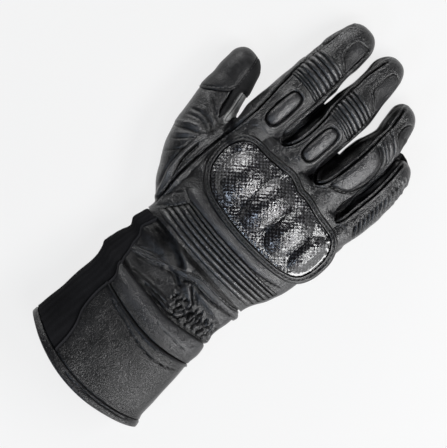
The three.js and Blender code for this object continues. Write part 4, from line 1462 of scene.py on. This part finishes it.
def rim_rise(x, depth):
    """Height of the guard's rim over its foot: a bevel, and a lip that leans out at the right end."""
    climb = np.clip(depth, 0, None)
    gone = np.logaddexp(0, BEVEL_TURN * (1 - climb / BEVEL_WIDTH)) / np.logaddexp(0, BEVEL_TURN)
    bevel = BEVEL_SLOPE * BEVEL_WIDTH * (1 - gone)
    steep, flat = LIP_SLOPES
    part = np.minimum(climb, LIP_WIDTH)
    lip = steep * part - (steep - flat) * part**2 / (2 * LIP_WIDTH)
    at_right = smoothstep(*LIP_STARTS, x)
    return bevel * (1 - at_right) + lip * at_right


def add_guard():
    """The domed shell, whose rim follows the back of the hand."""
    outline = spline(GUARD_OUTLINE, 1.0, closed=True)[:-1]
    low, high = outline.min(0) - 2, outline.max(0) + 2
    xs, ys = (np.arange(low[axis], high[axis], GUARD_STEP) for axis in (0, 1))
    x, y = np.meshgrid(xs, ys)
    depth = depth_inside(x, y, outline)
    # The lip takes its height from the leather further in, so that it leans evenly all round the end
    along_y, along_x = np.gradient(depth, GUARD_STEP)
    shift = smoothstep(*LIP_STARTS, x) * np.clip(LIP_WIDTH - depth, 0, 3 * LIP_WIDTH)
    base = blurred(back_height(x + along_x * shift, y + along_y * shift), 10)
    rise = BEVEL_FOOT + rim_rise(x, depth)
    rise = rise + dome_rise(x, y) * smoothstep(BEVEL_WIDTH - 0.5, BEVEL_WIDTH + 5, depth)
    data = np.column_stack([listed(x, y, base + rise), depth.ravel()])
    data, faces = clip(data, grid_faces(len(ys), len(xs)), depth.ravel())
    outer, depth = data[:, :3], data[:, 3]
    inner = outer - [0, 0, GUARD_WALL]
    inner[depth < 1e-6, 2] -= RIM_DROP
    points, walls = shell(outer, inner, faces)
    bare = (1 - smoothstep(LIP_WIDTH - 0.4, LIP_WIDTH, depth)) * smoothstep(38, 46, data[:, 0])
    add_piece("woven_knuckle_guard", points, walls, WOVEN_SHELL, ["knuckle_guard"],
              bare, sharp=35)


# The roll's section: share of the way out, height. Two narrow rolls with a stitched line between them
ROLL_SEAM = 0.48
ROLL = np.array([
    [0, -4], [0, 0.8], [0.06, 1.7], [0.16, 2.5], [0.28, 2.6], [0.38, 2.2], [0.44, 1.4], [ROLL_SEAM, 1.2],
    [0.53, 1.5], [0.6, 2.0], [0.7, 2.1], [0.82, 1.7], [0.92, 0.9], [1.0, -0.2], [1.0, -4],
])
# The section's relief for its tone, which paints shade into its low parts. Its two feet get less painted
# shade than their height would give them.
ROLL_SHADES = ROLL[:, 1] - 1.9
ROLL_SHADES[1] = -0.4
ROLL_SHADES[-2:] = (-1.2, -0.2)
SURROUND_INSET = 0.35
SURROUND_WIDTH = 5.2
SURROUND_SINK = 0.4
# Where along x the roll begins to keep its height, although the hand falls away under it
RAISED_STARTS = (36, 50)


def guard_rim():
    """The closed line of the guard's outline, and the directions out of it."""
    line = spline(GUARD_OUTLINE, 0.8, closed=True)[:-1]
    return line, outward(line)


def add_surround():
    """The padded roll round the guard, a closed section carried along its outline."""
    line, away = guard_rim()
    distance = SURROUND_INSET + ROLL[:, 0] * SURROUND_WIDTH
    x = line[:, :1] + away[:, :1] * distance
    y = line[:, 1:] + away[:, 1:] * distance
    raised = smoothstep(*RAISED_STARTS, line[:, :1])
    inner = line[:, None] + away[:, None] * (distance * (1 - 0.5 * raised) - 1.2 * raised)[..., None]
    base = blurred(back_height(inner[..., 0], inner[..., 1]), 4, wrap=True)
    points = listed(x, y, base + ROLL[:, 1] - SURROUND_SINK)
    faces = ring_faces(*x.shape)
    if np.cross(line[1] - line[0], away[0]) > 0:
        faces = faces[:, ::-1]
    roll = add_piece("padded_knuckle_surround", points, faces, ROLL_LEATHER,
                     ["knuckle_surround"], np.tile(ROLL_SHADES, len(line)))


# Wrist and cuff: a tube in stretches, with a flap and a strap on it

# Fineness of the sleeve's mesh round it and along it, and of its lining
SLEEVE_TURNS = 320
ROW_PITCH = 0.75
LINING_PITCH = 3.0
# The deepest relief that still deepens the painted shade of the wrist's and cuff's folds
DARKEST_FOLD = -1.0
# Ends, leather and slot of each stretch
STRETCHES = {
    "wrist_gather": (YOKE_SEAM, WRIST_SEAM + 2.0, GATHERED_LEATHER, "soft_leather"),
    "gauntlet_yoke": (GAUNTLET_SEAM, YOKE_SEAM, YOKE_LEATHER, "padded_leather"),
    "gauntlet": (BINDING_SEAM, GAUNTLET_SEAM, CUFF_LEATHER, "shell_leather"),
    "cuff_binding": (CUFF_END, BINDING_SEAM, CUFF_LEATHER, "padded_leather"),
}
# Half-width of the sleeve's section, which turns an angle into a length round it
ROUND_RADIUS = 46.0
# How far the cuff's free edge is rounded
EDGE_LENGTH = 1.5
EDGE_ROUNDING = 1.1

# Flap over the thumb side: y, and the turn of its free edge in degrees. It ends under the glove.
FLAP = np.array([
    [-144.5, 109.5], [-132, 110.5], [-122, 114], [-114, 119.5], [-98, 122.5], [-82, 119.5],
    [-74, 123.5], [-61, 128.5], [-50, 137], [-41, 140], [-33.5, 141],
], float)
FLAP_END = 222.0
# Height of the flap's edge over the sleeve, how much higher the flap is further in, and how far its
# underside lies over the sleeve
FLAP_LIFT = 0.45
FLAP_RISE = 1.0
FLAP_GAP = 0.1
FLAP_PITCH = 0.9


def seam_dip(y, turn):
    """How far the seams on the cuff's back lie from their section's plain line."""
    across = power(np.cos(turn), SLEEVE_SQUARE)
    back = smoothstep(-0.3, 0.3, np.sin(turn))
    lower = -1.4 * bump(across, 0.4, 0.5) * bump(y, -93, 12)
    upper = (3.2 * bump(across, 1, 0.35) - 1.2 * bump(across, 0.3, 0.3)) * bump(y, YOKE_SEAM, 7)
    return back * (lower + upper)


def ruches(y, turn):
    """Gathers over the elastic round the wrist, sharp in their valleys, which run askew on the back."""
    along = turn * ROUND_RADIUS
    back = smoothstep(0.0, 0.4, np.sin(turn))
    skew = 0.5 * np.sin(y / 3.1 + along / 7) + 0.5 * np.sin(along / 9.7 + 1.3)
    skew = skew + 0.45 * np.sin(y / 5.3 - along / 4.1)
    phase = along / (5.2 - 1.2 * back) + skew
    size = 1.1 + 0.55 * np.sin(along / 9.1 + y / 4)
    rows = smoothstep(-71, -65, y) * (1 - smoothstep(-57, -52, y))
    side = np.where(back > 0, smoothstep(0.0, 0.3, np.cos(turn)), 1)
    return rows * side * size * (np.abs(np.sin(math.pi * phase)) - 0.62) * (1.5 - 0.8 * back)


def under_flap(y, turn):
    """How much of the flap lies over a place of the sleeve."""
    degrees = np.degrees(turn)
    free = row_at(FLAP, y)[..., 1]
    first, last = FLAP[0, 0], FLAP[-1, 0]
    around = smoothstep(free + 0.5, free + 4, degrees)
    around = around * (1 - smoothstep(FLAP_END - 6, FLAP_END, degrees))
    return around * (smoothstep(first - 1, first + 1, y) * (1 - smoothstep(last, last + 3, y)))


def sleeve_rise(y, turn):
    """How far padding and seams move the sleeve's leather out of its plain section, at stations y."""
    under_hand = -1.9 * smoothstep(-38, -34, y)
    under_yoke = -1.5 * bump(y, -71.5, 2.2) * (y > YOKE_SEAM)
    from_top = YOKE_SEAM - y
    across = power(np.cos(turn), SLEEVE_SQUARE)
    back = smoothstep(-0.85, -0.2, across) * smoothstep(-0.6, 0.1, np.sin(turn))
    back = back * (1 - 0.5 * smoothstep(0.75, 1, across))
    swelling = (1 - np.exp(-np.maximum(from_top + 0.5, 0) / 1.3)) * (1 - smoothstep(5, 15, from_top))
    puff = (y <= YOKE_SEAM) * (y >= GAUNTLET_SEAM) * swelling * (0.2 + 1.6 * back)
    seam = -1.1 * bump(y, GAUNTLET_SEAM, 0.5) + 1.0 * bump(y, GAUNTLET_SEAM - 1.4, 0.8)
    binding = 0.5 * (1 - smoothstep(BINDING_SEAM - 1.2, BINDING_SEAM, y))
    edge = -0.8 * bump(y, BINDING_SEAM, 0.5)
    return under_hand + under_yoke + puff + seam + binding + edge + ruches(y, turn)


def sleeve_points(y, turn, extra=0.0):
    """Points of the sleeve's outside, raised by its own relief and by extra, and that relief."""
    y, turn = np.broadcast_arrays(y, turn)
    shifted = y + seam_dip(y, turn)
    plain = tube_points(SLEEVE, shifted, turn, SLEEVE_SQUARE)
    drawn = on_map(plain[..., 0], plain[..., 1]) * smoothstep(0.0, 0.35, np.sin(turn))
    uneven = lumps(plain.reshape(-1, 3), size=0.35, wave=26, seed=11).reshape(y.shape)
    covered = under_flap(y, turn)
    height = (sleeve_rise(y, turn) + drawn) * (1 - 0.9 * covered) - 0.9 * covered
    points = tube_points(SLEEVE, shifted, turn, SLEEVE_SQUARE, height + uneven + extra)
    return points, height


def stations(start, end, pitch, least):
    """Evenly spaced stations, about a pitch apart and with at least some number of steps."""
    return np.linspace(start, end, max(int(abs(end - start) / pitch), least) + 1)[:, None]


def add_sleeve():
    """The wrist and the cuff, as closed rings of outer leather and lining."""
    turn = np.linspace(0, 2 * math.pi, SLEEVE_TURNS, endpoint=False)[None]
    for name, (low, high, material, slot) in STRETCHES.items():
        rows = stations(low, high, ROW_PITCH, 4)
        rounding = 0.0
        if name == "cuff_binding":
            to_edge = np.clip(1 - (rows - low) / EDGE_LENGTH, 0, 1)
            rounding = -EDGE_ROUNDING * (1 - np.sqrt(1 - to_edge**2))
        outer, height = sleeve_points(rows, turn, rounding)
        rows = stations(high, low, LINING_PITCH, 2)
        dips = np.minimum(sleeve_points(rows, turn)[1], 0)
        shifted = rows + seam_dip(rows, turn)
        lining = tube_points(SLEEVE, shifted, turn, SLEEVE_SQUARE, dips - WALL)
        lining[..., 2] = np.maximum(lining[..., 2], WALL)
        rings = np.concatenate([outer, lining])
        piece = add_piece(f"{name}_leather", rings.reshape(-1, 3), ring_faces(len(rings), SLEEVE_TURNS),
                          material, [name], np.maximum(height, DARKEST_FOLD).ravel())


def add_flap():
    """The flap, from its free edge on the back to its end under the glove, with a bead at its edge."""
    rows = np.arange(FLAP[0, 0], FLAP[-1, 0], FLAP_PITCH)[:, None]
    free = row_at(FLAP, rows[:, 0])[:, 1:2]
    part = np.concatenate([np.linspace(0, 0.12, 14)[:-1], np.linspace(0.12, 1, 66)])
    turn = np.radians(free + (FLAP_END - free) * part[None])
    along = turn * ROUND_RADIUS
    from_edge = (turn - turn[:, :1]) * ROUND_RADIUS
    ends = np.minimum(rows - rows[0], (rows[-1] - rows) * 0.35)
    full = np.sqrt(1 - np.clip(1 - np.minimum(from_edge, ends) / 1.2, 0, 1) ** 2)
    bead = 0.6 * bump(from_edge, 0.9, 0.5) - 0.45 * bump(from_edge, 2.3, 0.5)
    waves = 0.14 * np.sin(0.95 * along + 1.7 * np.sin(rows / 17))
    waves = waves + 0.12 * np.sin(0.47 * along + rows / 21) * np.sin(rows / 13 + 0.2 * along)
    streaks = waves * smoothstep(2, 8, from_edge)
    top, _ = sleeve_points(rows, turn, FLAP_LIFT + FLAP_RISE * full + bead + streaks)
    bottom, _ = sleeve_points(rows, turn, FLAP_GAP)
    faces = grid_faces(*from_edge.shape)
    points, walls = shell(top.reshape(-1, 3), bottom.reshape(-1, 3), faces)
    # Relief for the leather's tone: a painted highlight along the bead, painted shade in the groove beside
    # it and in the streaks' hollows.
    add_piece("closure_flap_leather", points, walls, FLAP_LEATHER, ["closure_flap"],
              (bead * 2 + streaks).ravel())


# Strap over the wrist: turn in degrees, its two edges' y and its rise. It passes under the hand's edge.
STRAP = np.array([
    [-60, -44, -36.5, 1.6], [-20, -42.5, -35, 1.6], [20, -40, -34, 1.5], [40, -42, -35.6, 1.4],
    [60, -43.2, -36.8, 1.3], [78, -44.2, -37.6, 1.3], [84, -46, -39.6, 1.0], [88, -48.3, -42.4, 0.7],
    [93, -50, -45.6, 0.1], [100, -52.4, -48.2, 0.4], [108, -55.3, -50.2, 0.6], [117, -58, -53, 0.6],
    [126, -60.4, -56.2, 0.6], [132, -61.5, -57.5, 0.4],
], float)


STRAP_STATIONS = 230
STRAP_COLUMNS = 23
# Height of the strap's ends over the sleeve, and how far its underside lies in the sleeve
STRAP_LIFT = 0.15
STRAP_SINK = 0.8


def add_strap():
    """The strap, a pillow between two stitched lines, which lies close to the sleeve."""
    degrees = np.linspace(STRAP[0, 0], STRAP[-1, 0], STRAP_STATIONS)
    row = row_at(STRAP, degrees)
    part = np.linspace(0, 1, STRAP_COLUMNS)[None]
    y = row[:, 1:2] + (row[:, 2:3] - row[:, 1:2]) * part
    turn = np.radians(degrees)[:, None] + 0 * part
    across = np.abs(2 * part - 1)
    end = smoothstep(0, 1, np.minimum(degrees - degrees[0], degrees[-1] - degrees) / 2.5)[:, None]
    pillow = (1 - across**6) ** 0.5
    stitched = -0.5 * bump(across, 0.62, 0.1)
    top, _ = sleeve_points(y, turn, STRAP_LIFT + (row[:, 3:4] * pillow + stitched) * end)
    bottom, _ = sleeve_points(y, turn, -STRAP_SINK)
    faces = grid_faces(*y.shape)
    points, walls = shell(top.reshape(-1, 3), bottom.reshape(-1, 3), faces)
    # Relief for the leather's tone: painted shade along the stitched lines, a lighter pillow.
    strap = add_piece("wrist_strap_leather", points, walls, PADDED_LEATHER,
                      ["wrist_strap"], (stitched * 2 + 0.6 * pillow * end - 0.4).ravel())


# Light and floor, whose lengths are in metres

WORLD_LIGHT = 0.04
# Softboxes: name, place, size, watts, colour. All of them are aimed at LIGHT_AIM.
SOFTBOXES = [
    ("overhead", (0.48, -0.2, 1.2), (0.3, 0.3), 4.6, (1, 1, 1)),
    ("right_key", (0.6, 0.34, 0.76), (0.7, 0.26), 9.5, (1, 1, 1)),
    ("right_rim", (1.35, -0.1, 0.28), (1.5, 0.36), 19, (1, 1, 1)),
    ("left_rim", (-0.9, 0.6, 0.3), (0.8, 0.4), 9, (1, 1, 1)),
    ("low_window", (0.15, -1.25, 1.1), (0.6, 0.3), 7.5, (0.7, 0.82, 1)),
]
LIGHT_AIM = (0, 0, 0.02)
FLOOR_REACH = 6.0
FLOOR_LEVEL = -0.0004
FLOOR_SHADE = 0.1
FLOOR_UNEVENNESS = 0.01
FLOOR_GLOW = 0.79


def add_light(name, place, size, watts, colour):
    """A softbox."""
    data = bpy.data.lights.new(name, "AREA")
    data.shape = "RECTANGLE"
    data.size, data.size_y = size
    data.energy = watts
    data.color = colour
    light = bpy.data.objects.new(name, data)
    light.location = place
    light.rotation_euler = Vector(np.subtract(LIGHT_AIM, place)).to_track_quat("-Z", "Y").to_euler()
    bpy.context.scene.collection.objects.link(light)


def add_floor():
    """The pale floor, just under the glove, which glows a little so that it stays bright."""
    mesh = bpy.data.meshes.new("floor")
    near, far = -FLOOR_REACH, FLOOR_REACH
    corners = [(x, y, FLOOR_LEVEL) for x, y in ((near, near), (far, near), (far, far), (near, far))]
    mesh.from_pydata(corners, [], [(0, 1, 2, 3)])
    look = Look("pale_floor")
    cloud = look.nodes.new("ShaderNodeTexNoise")
    look.put(cloud, "Scale", 3)
    shades = [(0.0, FLOOR_SHADE - FLOOR_UNEVENNESS), (1.0, FLOOR_SHADE + FLOOR_UNEVENNESS)]
    mesh.materials.append(look.finished({
        "Base Color": look.ramp(cloud.outputs["Fac"], shades),
        "Roughness": 0.9,
        "Specular IOR Level": 0.1,
        "Emission Color": (1, 1, 1, 1),
        "Emission Strength": FLOOR_GLOW,
    }))
    floor = bpy.data.objects.new("floor", mesh)
    bpy.context.scene.collection.objects.link(floor)


def add_studio():
    """Light, floor and view settings."""
    scene = bpy.context.scene
    scene.view_settings.view_transform = "Standard"
    scene.world = bpy.data.worlds.new("studio")
    scene.world.use_nodes = True
    background = scene.world.node_tree.nodes["Background"]
    background.inputs["Color"].default_value = (1, 1, 1, 1)
    background.inputs["Strength"].default_value = WORLD_LIGHT
    for softbox in SOFTBOXES:
        add_light(*softbox)
    add_floor()


# The whole glove, piece by piece

draw_relief()
sheets = make_sheets()
make_skins(sheets)
add_overlays(sheets)
hand_surface = surface(sheets.values())
for name, (outline, rise) in PADS.items():
    add_pad(name, outline, rise, hand_surface)
add_webs()
for name, ribs in RIBS.items():
    add_ribs(name, hand_surface, **ribs)
add_guard()
add_surround()
add_sleeve()
add_flap()
add_strap()
rim, away = guard_rim()
roll_seam = rim + away * (SURROUND_INSET + ROLL_SEAM * SURROUND_WIDTH)
add_stitches([*STITCHED, roll_seam])
add_studio()
